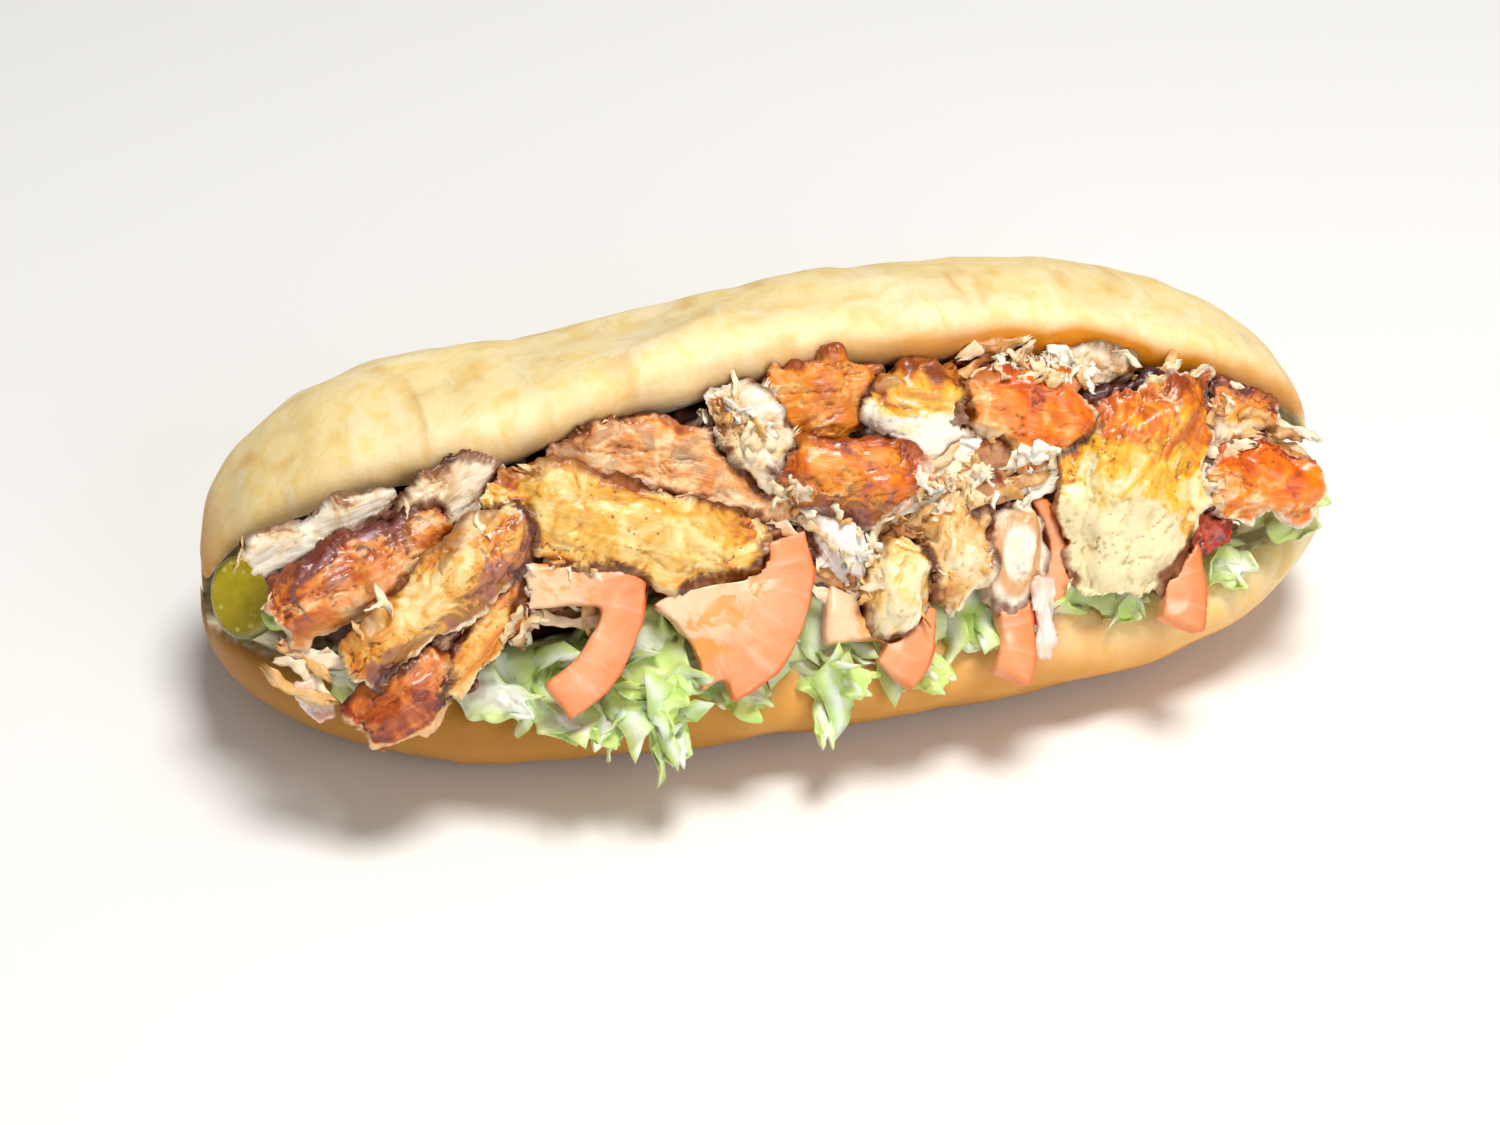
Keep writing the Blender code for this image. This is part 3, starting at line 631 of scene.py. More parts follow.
def roast_material(name, roast):
    """Roast chicken: a seared skin over pale fibres, which show where it is cut. Painted shade
    darkens its cracks, its upper sides, where it touches other pieces and where it lies deep in the
    filling; the paler patches of its purple glaze are a painted sheen.
    """

    def build(g):
        grain = g.attribute("grain")
        share = g.attribute("share")
        far, upper = g.part(share, 0), g.part(share, 1)
        side, pit = g.attribute("side", "Fac"), g.attribute("pit", "Fac")
        streak = g.noise(g.stretch(grain, (0.14, 1.0, 0.8)), 1.5, 4, 0.6, 0.3).rise(0.3, 0.7)
        cloud = g.noise(grain, 8, 4, 0.6, 0.9).rise(0.28, 0.72)
        fine = g.noise(grain, 1.3, 4, 0.65)
        browned = far * roast.far + upper * roast.upper + roast.start
        browned = browned + (cloud - 0.5) * 0.52 + (streak - 0.5) * 0.12 + (fine - 0.5) * 0.22
        rim = far.size().most(upper.size()) + (cloud - 0.5) * 0.5
        browned = browned + rim.rise(0.72, 1.05) * (1 - side) * 0.28
        tones = (tone(roast.pale), tone(roast.gold), tone(roast.sear), tone(roast.char))
        colour = g.ramp(browned, tuple(zip((0.12, 0.40, 0.68, 1.0), tones)))
        # Purple glaze: dark maroon, with paler mauve patches that are a painted sheen.
        blotch = g.noise(grain, 7, 3, 0.6, 1.5)
        glaze = (blotch + upper * (0.22 * roast.plum_up)).rise(0.52, 0.66) * roast.plum
        glazed = cloud.rise(0.35, 0.8).mix(tone("5A2220"), tone("865A5C"))
        colour = glaze.mix(colour, glazed)
        cut = (fine.rise(0.45, 0.75) * 0.6).mix(tone(roast.cut), tone(roast.gold))
        shown = side * (1.1 - streak * 0.5) * (1 - upper.rise(0.1, 0.8) * 0.75)
        colour = shown.rise(0.25, 0.85).mix(colour, cut)
        # Painted shade: the upper cut sides, hidden under the crown, go dark as char.
        colour = (side * upper.rise(0.1, 0.8) * 0.8).mix(colour, tone(roast.char))
        radius = (far * far + upper * upper) ** 0.5
        ring = radius.rise(0.42, 0.55) * (1 - radius.rise(0.66, 0.8)) * roast.ring
        colour = ring.mix(colour, tone("D89A58"))
        specks = g.cells(grain, 2.4).rise(0.20, 0.12) * g.noise(grain, 5, 2).rise(0.5, 0.56)
        colour = (specks * roast.pepper).mix(colour, tone("6A3010"))
        # Painted shade in the cracks and grooves of the relief, darker on the seared parts.
        seared = browned.rise(0.2, 0.6)
        crack = seared.mix(tone(roast.gold), tone("7A2C0C"))
        colour = (pit * (0.25 + seared * 0.45)).mix(colour, crack)
        # Painted shade, dark brown, where the meat touches other pieces.
        juice = (g.attribute("touch", "Fac") + (cloud - 0.5) * 0.5).rise(0.25, 0.9) * 0.9
        colour = juice.mix(colour, browned.rise(0.1, 0.6).mix(tone("843A0E"), tone("4C1805")))
        # Painted shade where the meat lies deep in the filling.
        colour = g.attribute("depth", "Fac").mix(colour, tone("4E1608"))
        return {
            "Base Color": colour,
            "Roughness": 0.24 + streak * 0.12 + side * 0.15,
            "Coat Weight": browned.rise(0.25, 0.7) * (1 - side) * 0.5,
            "Normal": g.bump(streak * 0.7 + fine * 0.5, 0.3, 0.55),
        }

    return finish_material(name, build, coat_roughness=0.18)


def loose_material(name, pale, gold, sear):
    """Shredded chicken, where each shred has its own share of browning, with painted shade where it
    lies deep in the filling.
    """

    def build(g):
        grain = g.attribute("grain")
        tint = g.attribute("tint", "Fac")
        fine = g.noise(grain, 1.2, 4, 0.65)
        streak = g.noise(g.stretch(grain, (0.15, 1, 1)), 0.8, 2, 0.5).rise(0.3, 0.7)
        cloud = g.noise(g.place(), 6, 3, 0.6)
        browned = tint + (cloud - 0.5) * 0.9 + (fine - 0.5) * 0.5
        stops = ((0.25, tone(pale)), (0.6, tone(gold)), (0.95, tone(sear)))
        colour = g.ramp(browned, stops)
        colour = (streak * 0.25).mix(colour, tone(gold))
        # Painted shade where the shreds lie deep in the filling.
        colour = g.attribute("depth", "Fac").mix(colour, tone("3A1208"))
        return {
            "Base Color": colour,
            "Roughness": 0.32 + fine * 0.2,
            "Normal": g.bump(fine * 0.5 + streak * 0.5, 0.3, 0.6),
        }

    return finish_material(name, build, specular_ior_level=0.6)


def tomato_material():
    """Wet salmon flesh, paler towards its middle, inside a thin orange skin, with painted shade
    where it lies deep in the filling.
    """

    def build(g):
        spot = g.place()
        rind = g.attribute("rind")
        radius = g.part(rind, 0)
        flesh = g.noise(spot, 9, 3, 0.5, 0.4)
        fine = g.noise(spot, 1.4, 3, 0.6)
        ray = g.noise(g.stretch(rind, (2.0, 9, 1)), 1, 2, 0.5)
        ripe = radius + (flesh - 0.5) * 0.7
        colour = ripe.rise(0.25, 0.75).mix(tone("FACDA4"), tone("F8A06A"))
        colour = (ripe.rise(0.70, 1.02) * 0.85).mix(colour, tone("F2894C"))
        colour = (ray.rise(0.5, 0.75) * 0.25).mix(colour, tone("FCE4D2"))
        colour = radius.rise(0.955, 0.985).mix(colour, tone("E66A30"))
        colour = (fine.rise(0.6, 0.75) * 0.25).mix(colour, tone("E88A50"))
        heart = radius.rise(0.22, 0.36) * (1 - radius.rise(0.58, 0.72))
        gel = g.noise(spot, 6, 3, 0.6, 0.8).rise(0.48, 0.60) * heart * 0.8
        colour = gel.mix(colour, tone("EE9A34"))
        # Painted shade where the tomato lies deep in the filling.
        colour = (g.attribute("depth", "Fac") * 0.6).mix(colour, tone("9A3A1C"))
        return {
            "Base Color": colour,
            "Roughness": 0.28 + flesh * 0.2,
            "Normal": g.bump(ray * 0.4 + flesh * 0.6 + fine * 0.25 - gel, 0.3, 0.35),
        }

    return finish_material(
        "tomato flesh", build, subsurface_weight=0.3, subsurface_scale=0.005, coat_weight=0.12,
        coat_roughness=0.15,
    )


def lettuce_material(name, settings, lime):
    """Crisp shredded lettuce: white ribs that turn lime at the frilled edges, with painted shade
    where it lies deep in the filling.
    """

    def build(g):
        spot = g.place()
        share = g.attribute("share")
        across = g.part(share, 1)
        cloud = g.noise(spot, 7, 3, 0.6)
        vein = g.noise(g.stretch(share, (3, 16, 1)), 1, 3, 0.6)
        green = across.size() * 0.55 + (cloud - 0.5) * 1.3 + lime - 0.1
        colour = green.rise(0.1, 0.9).mix(settings.leaf_pale, settings.leaf_lime)
        colour = (green.rise(0.7, 1.3) * 0.5).mix(colour, tone("C0DE68"))
        colour = (vein.rise(0.55, 0.7) * 0.45).mix(colour, tone("F6FAEC"))
        # Painted shade, a darker green, where the lettuce lies deep in the filling.
        colour = (g.attribute("depth", "Fac") * 0.3).mix(colour, tone("B4C468"))
        return {
            "Base Color": colour,
            "Roughness": 0.28 + cloud * 0.2,
            "Normal": g.bump(vein, 0.35, 0.6),
        }

    return finish_material(
        name, build, subsurface_weight=0.3, subsurface_scale=0.003, coat_weight=0.15,
        coat_roughness=0.2,
    )


def pickle_material():
    """Wet green pickle with pale seeds, darker at its rind."""

    def build(g):
        spot = g.place()
        radius = g.part(g.attribute("rind"), 0)
        cloud = g.noise(spot, 3.5, 4, 0.6)
        seed = g.cells(spot, 2.6).rise(0.10, 0.28)
        colour = cloud.rise(0.3, 0.7).mix(tone("A89408"), tone("BCA81C"))
        colour = seed.mix(tone("CFC764"), colour)
        colour = radius.rise(0.78, 0.95).mix(colour, tone("5C6410"))
        return {
            "Base Color": colour,
            "Roughness": 0.16 + cloud * 0.15,
            "Normal": g.bump(cloud + seed * 0.4, 0.4, 0.5),
        }

    return finish_material(
        "pickle", build, subsurface_weight=0.3, subsurface_scale=0.003, coat_weight=0.5,
        coat_roughness=0.08,
    )


def onion_material():
    """Glassy white onion, lined along its length and tinted by the juices at its ends."""

    def build(g):
        grain = g.attribute("grain")
        line = g.noise(g.stretch(grain, (0.08, 1, 1)), 0.9, 2, 0.5)
        colour = line.rise(0.4, 0.65).mix(tone("F8EEE4"), tone("EBD0C4"))
        ends = g.part(g.attribute("share"), 0).size().rise(0.35, 0.9)
        colour = (ends * 0.5).mix(colour, tone("F0B48C"))
        return {
            "Base Color": colour,
            "Roughness": 0.22 + line * 0.15,
            "Normal": g.bump(line, 0.25, 0.5),
        }

    return finish_material(
        "onion", build, subsurface_weight=0.35, subsurface_scale=0.003, coat_weight=0.2,
        coat_roughness=0.15,
    )


# Meshes


def put_in_scene(name, mesh):
    obj = bpy.data.objects.new(name, mesh)
    bpy.context.scene.collection.objects.link(obj)
    return obj


def evaluated(obj):
    """The object's mesh with its modifiers applied; the modifiers are then removed."""
    bpy.context.view_layer.update()
    graph = bpy.context.evaluated_depsgraph_get()
    mesh = bpy.data.meshes.new_from_object(obj.evaluated_get(graph))
    obj.modifiers.clear()
    old, obj.data = obj.data, mesh
    bpy.data.meshes.remove(old)
    return mesh


def solid_copy(node):
    """A merged copy of a solid's mesh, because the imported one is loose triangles."""
    source = frame["nodes"][node]
    shape = bmesh.new()
    shape.from_mesh(source.data)
    bmesh.ops.transform(shape, matrix=source.matrix_world, verts=shape.verts)
    bmesh.ops.remove_doubles(shape, verts=shape.verts, dist=1e-6)
    mesh = bpy.data.meshes.new(node)
    shape.to_mesh(mesh)
    shape.free()
    return mesh


def fine_copy(node, step, smoothing):
    """The solid again in small even faces, with its edges softened."""
    obj = put_in_scene(node + "_look", solid_copy(node))
    remesh = obj.modifiers.new("even faces", "REMESH")
    remesh.mode = "VOXEL"
    remesh.voxel_size = step
    soften = obj.modifiers.new("soften", "SMOOTH")
    soften.factor = 0.5
    soften.iterations = smoothing
    evaluated(obj)
    return obj


def points_of(mesh):
    points = np.empty(len(mesh.vertices) * 3, np.float32)
    mesh.vertices.foreach_get("co", points)
    return points.reshape(-1, 3)


def normals_of(mesh):
    normals = np.empty(len(mesh.vertices) * 3, np.float32)
    mesh.vertex_normals.foreach_get("vector", normals)
    return normals.reshape(-1, 3)


def store(mesh, name, values):
    """Keeps a number or a vector for each point of the mesh."""
    values = np.asarray(values, np.float32)
    if values.ndim == 1:
        mesh.attributes.new(name, "FLOAT", "POINT").data.foreach_set("value", values)
    else:
        attribute = mesh.attributes.new(name, "FLOAT_VECTOR", "POINT")
        attribute.data.foreach_set("vector", values.ravel())


def smooth_step(values, low, high):
    share = np.clip((values - low) / (high - low), 0, 1)
    return share * share * (3 - 2 * share)


def store_grain(mesh, number):
    """Keeps where each point lies along, across and through the piece in mm (grain), the same as
    shares of its half size (share), how far it faces sideways (side) and its depth in the
    filling, which sets its painted shade. The number shifts the grain, so that no two pieces
    have the same."""
    points = points_of(mesh)
    centre = points.mean(0)
    _, axes = np.linalg.eigh(np.cov((points - centre).T))
    axes = axes[:, ::-1].T
    for axis, way in zip(axes, (ALONG, UP_FACE, OUT)):
        if axis @ np.array(way) < 0:
            axis *= -1
    local = (points - centre) @ axes.T / MM
    store(mesh, "grain", local + number * 31.0)
    store(mesh, "share", local / np.abs(local).max(0))
    store(mesh, "side", 1 - smooth_step(np.abs(normals_of(mesh) @ axes[2]), 0.45, 0.8))
    store_depth(mesh)


def store_touch(mesh, node, reach):
    """1 for points that touch another solid, 0 for those further from all of them than reach. The
    materials paint shade where it is high.
    """
    points, faces = [], []
    for name, source in frame["nodes"].items():
        if name != node:
            start = len(points)
            points += [source.matrix_world @ vertex.co for vertex in source.data.vertices]
            faces += [[start + corner for corner in face.vertices] for face in source.data.polygons]
    tree = BVHTree.FromPolygons(points, faces)
    gaps = [tree.find_nearest(point, reach)[3] for point in points_of(mesh).tolist()]
    gaps = np.array([reach if gap is None else gap for gap in gaps])
    store(mesh, "touch", 1 - smooth_step(gaps, 0, reach))


def store_depth(mesh):
    """1 for points well behind the open face, 0 for those at its front: how much painted shade
    darkens them.
    """
    out = (points_of(mesh) - np.array(MOUTH_ORIGIN)) @ np.array(OUT) / MM
    store(mesh, "depth", 0.9 * (1 - smooth_step(out, -8, 7)))


def shade_smooth(mesh):
    mesh.polygons.foreach_set("use_smooth", [True] * len(mesh.polygons))


def new_tree(name, inputs):
    """A Geometry Nodes tree with these inputs, a socket type for each name, and one output."""
    tree = bpy.data.node_groups.new(name, "GeometryNodeTree")
    for label, kind in inputs.items():
        tree.interface.new_socket(label, in_out="INPUT", socket_type="NodeSocket" + kind)
    tree.interface.new_socket("Geometry", in_out="OUTPUT", socket_type="NodeSocketGeometry")
    return tree


def relief_tree():
    """Geometry Nodes that raise flakes, fibres and lumps on a mesh with a grain attribute, fray
    it where its attribute side is high, and keep how deep each point lies in a crack (pit), where
    the meat's material paints shade."""
    heights = {label: "Float" for label in ("Flake", "Fibre", "Lumps", "Fray")}
    tree = new_tree("fibrous relief", {"Geometry": "Geometry", **heights})
    g = Graph(tree)
    given = g.node("NodeGroupInput").outputs
    flake, fibre = Value(g, given["Flake"]), Value(g, given["Fibre"])
    lumps, fray = Value(g, given["Lumps"]), Value(g, given["Fray"])
    grain = g.value(
        "GeometryNodeInputNamedAttribute", {"data_type": "FLOAT_VECTOR"}, {"Name": "grain"}
    )
    side = g.value("GeometryNodeInputNamedAttribute", {"data_type": "FLOAT"}, {"Name": "side"})
    bend = g.value("ShaderNodeTexNoise", None, {"Vector": grain, "Scale": 0.12, "Detail": 2.0}, 1)
    bent = g.value(
        "ShaderNodeVectorMath", {"operation": "ADD"}, {0: grain, 1: g.stretch(bend, (9, 7, 7))}
    )
    flat = g.stretch(bent, (1 / 24, 1 / 7, 1 / 5))
    cell = g.value("ShaderNodeTexVoronoi", {"feature": "F1"}, {"Vector": flat, "Scale": 1.0}, 1)
    border = g.value(
        "ShaderNodeTexVoronoi", {"feature": "DISTANCE_TO_EDGE"}, {"Vector": flat, "Scale": 1.0}, 0
    )
    groove = 1 - border.rise(0.0, 0.10)
    crack = (g.noise(g.stretch(bent, (0.05, 0.22, 0.22)), 1, 2, 0.5) - 0.5).size()
    crack = (1 - crack.rise(0.004, 0.022)) * (g.noise(grain, 9, 1) - 0.46).rise(0.0, 0.06)
    step = g.part(cell, 0) - 0.5
    streak = g.noise(g.stretch(bent, (0.10, 1.0, 1.0)), 1.3, 2, 0.5)
    lump = g.noise(g.stretch(grain, (0.7, 1, 1)), 9, 1, 0.4).rise(0.25, 0.75)
    torn = g.noise(g.stretch(bent, (0.5, 1.0, 0.5)), 3.2, 2, 0.5).rise(0.25, 0.75)
    move = step * flake * 1.4 - groove * flake * 0.5 - crack * fibre * 3
    move = move + (streak - 0.5) * fibre * 2 + (lump - 0.5) * lumps * 2
    move = move + (torn - 0.25) * side * fray * 2
    pit = (crack + groove * (0.2 - step).rise(0.0, 0.5) * 0.5).least(1.0)
    kept = g.node(
        "GeometryNodeStoreNamedAttribute", {"data_type": "FLOAT", "domain": "POINT"},
        {"Geometry": given["Geometry"], "Name": "pit", "Value": pit},
    )
    normal = g.value("GeometryNodeInputNormal")
    offset = g.value(
        "ShaderNodeVectorMath", {"operation": "SCALE"}, {"Vector": normal, "Scale": move}
    )
    moved = g.node(
        "GeometryNodeSetPosition", None, {"Geometry": kept.outputs[0], "Offset": offset}
    )
    output = g.node("NodeGroupOutput")
    g.feed(output.inputs["Geometry"], moved.outputs["Geometry"])
    return tree


def add_nodes(obj, tree, values):
    """Gives the object a Geometry Nodes modifier, with its inputs set by their identifiers."""
    modifier = obj.modifiers.new(tree.name, "NODES")
    modifier.node_group = tree
    for item in tree.interface.items_tree:
        if item.item_type == "SOCKET" and item.in_out == "INPUT" and item.name in values:
            modifier[item.identifier] = values[item.name]


def raise_relief(obj, tree, flake=0.0, fibre=0.0, lumps=0.0, fray=0.0):
    """Raises the relief on the object's mesh. All four are heights in metres."""
    add_nodes(obj, tree, {"Flake": flake, "Fibre": fibre, "Lumps": lumps, "Fray": fray})
    evaluated(obj)


def grid_solid(name, columns, rows, place):
    """A thin closed solid over a grid; place gives (point, outward, half thickness) at p and q
    from -1 to 1. Both faces are triangulated alike."""
    top, bottom, shares = [], [], []
    for i in range(columns):
        for j in range(rows):
            p, q = 2 * i / (columns - 1) - 1, 2 * j / (rows - 1) - 1
            point, outward, half = place(p, q)
            top.append(point + outward * half)
            bottom.append(point - outward * half)
            shares.append((p, q, max(abs(p), abs(q))))
    faces, below = [], len(top)
    for i in range(columns - 1):
        for j in range(rows - 1):
            a, b = i * rows + j, (i + 1) * rows + j
            faces += [(a, b, b + 1), (a, b + 1, a + 1)]
            faces += [
                (below + a, below + b + 1, below + b),
                (below + a, below + a + 1, below + b + 1),
            ]
    rim = [i * rows for i in range(columns)]
    rim += [(columns - 1) * rows + j for j in range(1, rows)]
    rim += [i * rows + rows - 1 for i in range(columns - 2, -1, -1)]
    rim += list(range(rows - 2, 0, -1))
    for a, b in zip(rim, rim[1:] + rim[:1]):
        faces += [(a, below + a, below + b), (a, below + b, b)]
    mesh = bpy.data.meshes.new(name)
    mesh.from_pydata(top + bottom, [], faces)
    store(mesh, "share", shares + shares)
    shade_smooth(mesh)
    return mesh


def joined(name, meshes):
    """One mesh made of several, with their stored values."""
    shape = bmesh.new()
    for mesh in meshes:
        shape.from_mesh(mesh)
    result = bpy.data.meshes.new(name)
    shape.to_mesh(result)
    shape.free()
    return result


def face_outwards(mesh):
    shape = bmesh.new()
    shape.from_mesh(mesh)
    bmesh.ops.recalc_face_normals(shape, faces=shape.faces)
    shape.to_mesh(mesh)
    shape.free()


def leaf_mesh(leaf, seed, columns=44, rows=15):
    """A wavy shred of lettuce with a rib along its middle and frilled sides."""
    draw = random.Random(seed)
    first, last = Vector(leaf.first), Vector(leaf.last)
    run = last - first
    side = Vector((0, 0, 1)).cross(run).normalized()
    lift = run.cross(side).normalized()
    if lift.z < 0:
        lift.negate()
    phase = [draw.uniform(0, 6.3) for _ in range(5)]

    def place(p, q):
        f = (p + 1) / 2
        width = leaf.width * (0.45 + 0.55 * sin(pi * (0.08 + 0.8 * f))) / 2
        width *= 1 + 0.22 * sin(9 * f + phase[0] + q) + 0.12 * sin(23 * f + phase[1])
        curl = 0.9 * sin(17 * f + phase[2] + 1.2 * q) + 0.5 * sin(31 * f + phase[4])
        frill = leaf.ruffle * q * q * curl
        wave = leaf.ruffle * 0.6 * sin(6 * f + phase[3]) + 0.3 * leaf.ruffle * q * sin(4 * f)
        height = wave + frill * 0.8 + 0.5 * (1 - abs(q))
        point = first + run * f + side * q * width + lift * height
        point += run.normalized() * 1.6 * sin(5 * q + phase[1]) * (f * f)
        point += lift * 1.1 * noise.noise(Vector((f * 5 + seed, q * 2.2, 0)) * 1.6)
        point += lift * 0.5 * noise.noise(Vector((f * 5, q * 2.2, seed)) * 4)
        return FACE @ (point * MM), FACE.to_3x3() @ lift, (0.45 + 0.5 * (1 - abs(q)) ** 2) * MM

    mesh = grid_solid("leaf", columns, rows, place)
    face_outwards(mesh)
    return mesh


def small_strip(name, length, width, thick, ruffle, seed, columns=7, rows=3):
    """A short curled strip round the origin, for scattering."""
    draw = random.Random(seed)
    phase = [draw.uniform(0, 6.3) for _ in range(6)]
    curl = draw.uniform(0.3, 1.0)

    def place(p, q):
        turn = curl * p
        x = length / 2 * sin(turn) / curl
        lift = length / 2 * (1 - cos(turn)) / curl
        uneven = 1 + 0.3 * sin(4 * p + phase[0]) + 0.2 * sin(9 * p + phase[4])
        wide = width / 2 * (1 - 0.6 * abs(p) ** 3) * uneven
        lift += ruffle * (q * q * sin(7 * p + phase[1] + q) + 0.5 * sin(4 * p + phase[2]))
        y = q * wide + 0.2 * width * sin(3 * p + phase[3])
        x += 0.12 * length * q * sin(3 * q + phase[5])
        half = thick / 2 * (1 - 0.5 * abs(q)) * (1 - 0.4 * p * p)
        return Vector((x, y, lift)) * MM, Vector((0, 0, 1)), half * MM

    mesh = grid_solid(name, columns, rows, place)
    store(mesh, "grain", points_of(mesh) / MM + seed)
    face_outwards(mesh)
    return mesh


def ribbon_mesh(first, last, width, seed, columns=26, rows=5):
    """A ribbon of pulled meat between two points, that waves and frays at its ends."""
    draw = random.Random(seed)
    run = last - first
    side = OUT.cross(run).normalized()
    phase = [draw.uniform(0, 6.3) for _ in range(6)]
    bend = draw.uniform(-0.8, 0.8) * MM

    def place(p, q):
        f = (p + 1) / 2
        uneven = 1 + 0.25 * sin(11 * f + phase[0]) + 0.15 * sin(29 * f + phase[1])
        wide = width / 2 * (1 - 0.55 * abs(p) ** 4) * uneven
        across = q * wide + 1.2 * MM * sin(4 * f + phase[2]) + bend * p * p
        point = first + run * f + side * across
        point += OUT * MM * (0.9 * sin(7 * f + phase[3]) + 0.5 * q * sin(13 * f + phase[4]))
        point += run.normalized() * 0.9 * MM * p * sin(6 * q + phase[5])
        half = 0.55 * MM * (1 - 0.55 * abs(q)) * (1 - 0.5 * p * p) + 0.1 * MM
        return point, OUT, half

    mesh = grid_solid("ribbon", columns, rows, place)
    store(mesh, "grain", points_of(mesh) / MM + seed)
    store(mesh, "tint", np.full(len(mesh.vertices), draw.random()))
    face_outwards(mesh)
    return mesh


def bundle(shred, seed):
    """The ribbons of one pulled shred, fanned over its width."""
    draw = random.Random(seed)
    first, last = Vector(shred.first), Vector(shred.last)
    across = Vector((0, 0, 1)).cross(last - first).normalized()
    ribbons = []
    for i in range(RIBBONS):
        shift = across * shred.width * (i / (RIBBONS - 1) - 0.5)
        start = first + shift * draw.uniform(0.6, 1.1) + (last - first) * draw.uniform(-0.12, 0.15)
        end = last + shift * draw.uniform(0.5, 1.2) - (last - first) * draw.uniform(-0.12, 0.2)
        lift = Vector((0, 0, draw.uniform(0.6, 2.2)))
        width = shred.width * draw.uniform(0.28, 0.5) * MM
        start, end = FACE @ ((start + lift) * MM), FACE @ ((end + lift) * MM)
        ribbons.append(ribbon_mesh(start, end, width, seed + i))
    return ribbons


def scatter_tree(name, material):
    """Geometry Nodes that scatter small meshes over a surface, Density of them for each square
    metre times its attribute where, and only on faces whose normal points out of the filling by
    more than Facing. Least and Most are their scales, and Tumble is how far they tip."""
    inputs = {
        "Geometry": "Geometry", "Density": "Float", "Seed": "Int", "Least": "Float",
        "Most": "Float", "Tumble": "Float", "Facing": "Float", "Kinds": "Collection",
    }
    tree = new_tree(name, inputs)
    g = Graph(tree)
    given = g.node("NodeGroupInput").outputs
    seed, tumble = Value(g, given["Seed"]), Value(g, given["Tumble"])

    def draw(low, high, number):
        return g.value(
            "FunctionNodeRandomValue", {"data_type": "FLOAT"},
            {2: low, 3: high, "Seed": seed + number}, output=1,
        )

    normal = g.value("GeometryNodeInputNormal")
    facing = g.value(
        "ShaderNodeVectorMath", {"operation": "DOT_PRODUCT"}, {0: normal, 1: OUT}, "Value"
    )
    front = g.value(
        "FunctionNodeCompare", {"operation": "GREATER_THAN"}, {0: facing, 1: given["Facing"]}
    )
    where = g.value("GeometryNodeInputNamedAttribute", {"data_type": "FLOAT"}, {"Name": "where"})
    points = g.node(
        "GeometryNodeDistributePointsOnFaces", {"distribute_method": "RANDOM"},
        {"Mesh": given["Geometry"], "Selection": front,
         "Density": Value(g, given["Density"]) * where, "Seed": given["Seed"]},
    )
    pieces = g.node(
        "GeometryNodeCollectionInfo", None,
        {"Collection": given["Kinds"], "Separate Children": True, "Reset Children": True},
    )
    turn = g.node(
        "ShaderNodeCombineXYZ", None,
        {0: draw(-0.6, 0.6, 3) * tumble, 1: draw(-0.5, 0.5, 4) * tumble, 2: draw(-3.1, 3.1, 5)},
    )
    rotation = g.node(
        "FunctionNodeAlignRotationToVector", {"axis": "Z"},
        {"Vector": points.outputs["Normal"]},
    )
    spun = g.node(
        "FunctionNodeRotateRotation", {"rotation_space": "LOCAL"},
        {"Rotation": rotation.outputs[0], "Rotate By": turn.outputs[0]},
    )
    placed = g.node(
        "GeometryNodeInstanceOnPoints", None,
        {"Points": points.outputs["Points"], "Instance": pieces.outputs[0], "Pick Instance": True,
         "Rotation": spun.outputs[0], "Scale": draw(given["Least"], given["Most"], 7)},
    )
    tinted = g.node(
        "GeometryNodeStoreNamedAttribute", {"data_type": "FLOAT", "domain": "INSTANCE"},
        {"Geometry": placed.outputs[0], "Name": "tint", "Value": draw(0.0, 1.0, 11)},
    )
    real = g.node("GeometryNodeRealizeInstances", None, {"Geometry": tinted.outputs[0]})
    painted = g.node(
        "GeometryNodeSetMaterial", None, {"Geometry": real.outputs[0], "Material": material}
    )
    output = g.node("NodeGroupOutput")
    g.feed(output.inputs["Geometry"], painted.outputs[0])
    return tree


def kinds_collection(name, meshes):
    """A hidden collection of the small meshes that a scatter picks from."""
    kinds = bpy.data.collections.new(name)
    for number, mesh in enumerate(meshes):
        kinds.objects.link(bpy.data.objects.new(f"{name} {number}", mesh))
    return kinds


def scattered(name, surface, kinds, material, values):
    """The scattered pieces over a surface mesh, as one plain mesh object."""
    obj = put_in_scene(name, surface)
    add_nodes(obj, scatter_tree(name, material), {"Kinds": kinds, **values})
    mesh = evaluated(obj)
    for kind in list(kinds.objects):
        bpy.data.objects.remove(kind)
    bpy.data.collections.remove(kinds)
    store_depth(mesh)
    return obj


def everywhere(mesh):
    """The mesh, to be scattered over evenly."""
    store(mesh, "where", np.ones(len(mesh.vertices)))
    return mesh


def draped(patches, over):
    """Small patches of surface that lie on the given objects, as seen from out of the filling."""
    trees = [BVHTree.FromObject(obj, bpy.context.evaluated_depsgraph_get()) for obj in over]
    meshes = []
    for patch in patches:
        turn = radians(patch.turn)
        points, faces = [], []
        for i in range(PATCH_STEPS):
            for j in range(PATCH_STEPS):
                p = patch.long * (2 * i / (PATCH_STEPS - 1) - 1)
                q = patch.wide * (2 * j / (PATCH_STEPS - 1) - 1)
                x = patch.along + p * cos(turn) - q * sin(turn)
                y = patch.up + p * sin(turn) + q * cos(turn)
                points.append(surface_point(trees, x, y))
        for i in range(PATCH_STEPS - 1):
            for j in range(PATCH_STEPS - 1):
                a = i * PATCH_STEPS + j
                faces.append((a, a + PATCH_STEPS, a + PATCH_STEPS + 1, a + 1))
        mesh = bpy.data.meshes.new("patch")
        mesh.from_pydata(points, [], faces)
        area = 4 * patch.long * patch.wide * MM * MM
        store(mesh, "where", np.full(len(points), patch.count / area))
        meshes.append(mesh)
    return joined("patches", meshes)


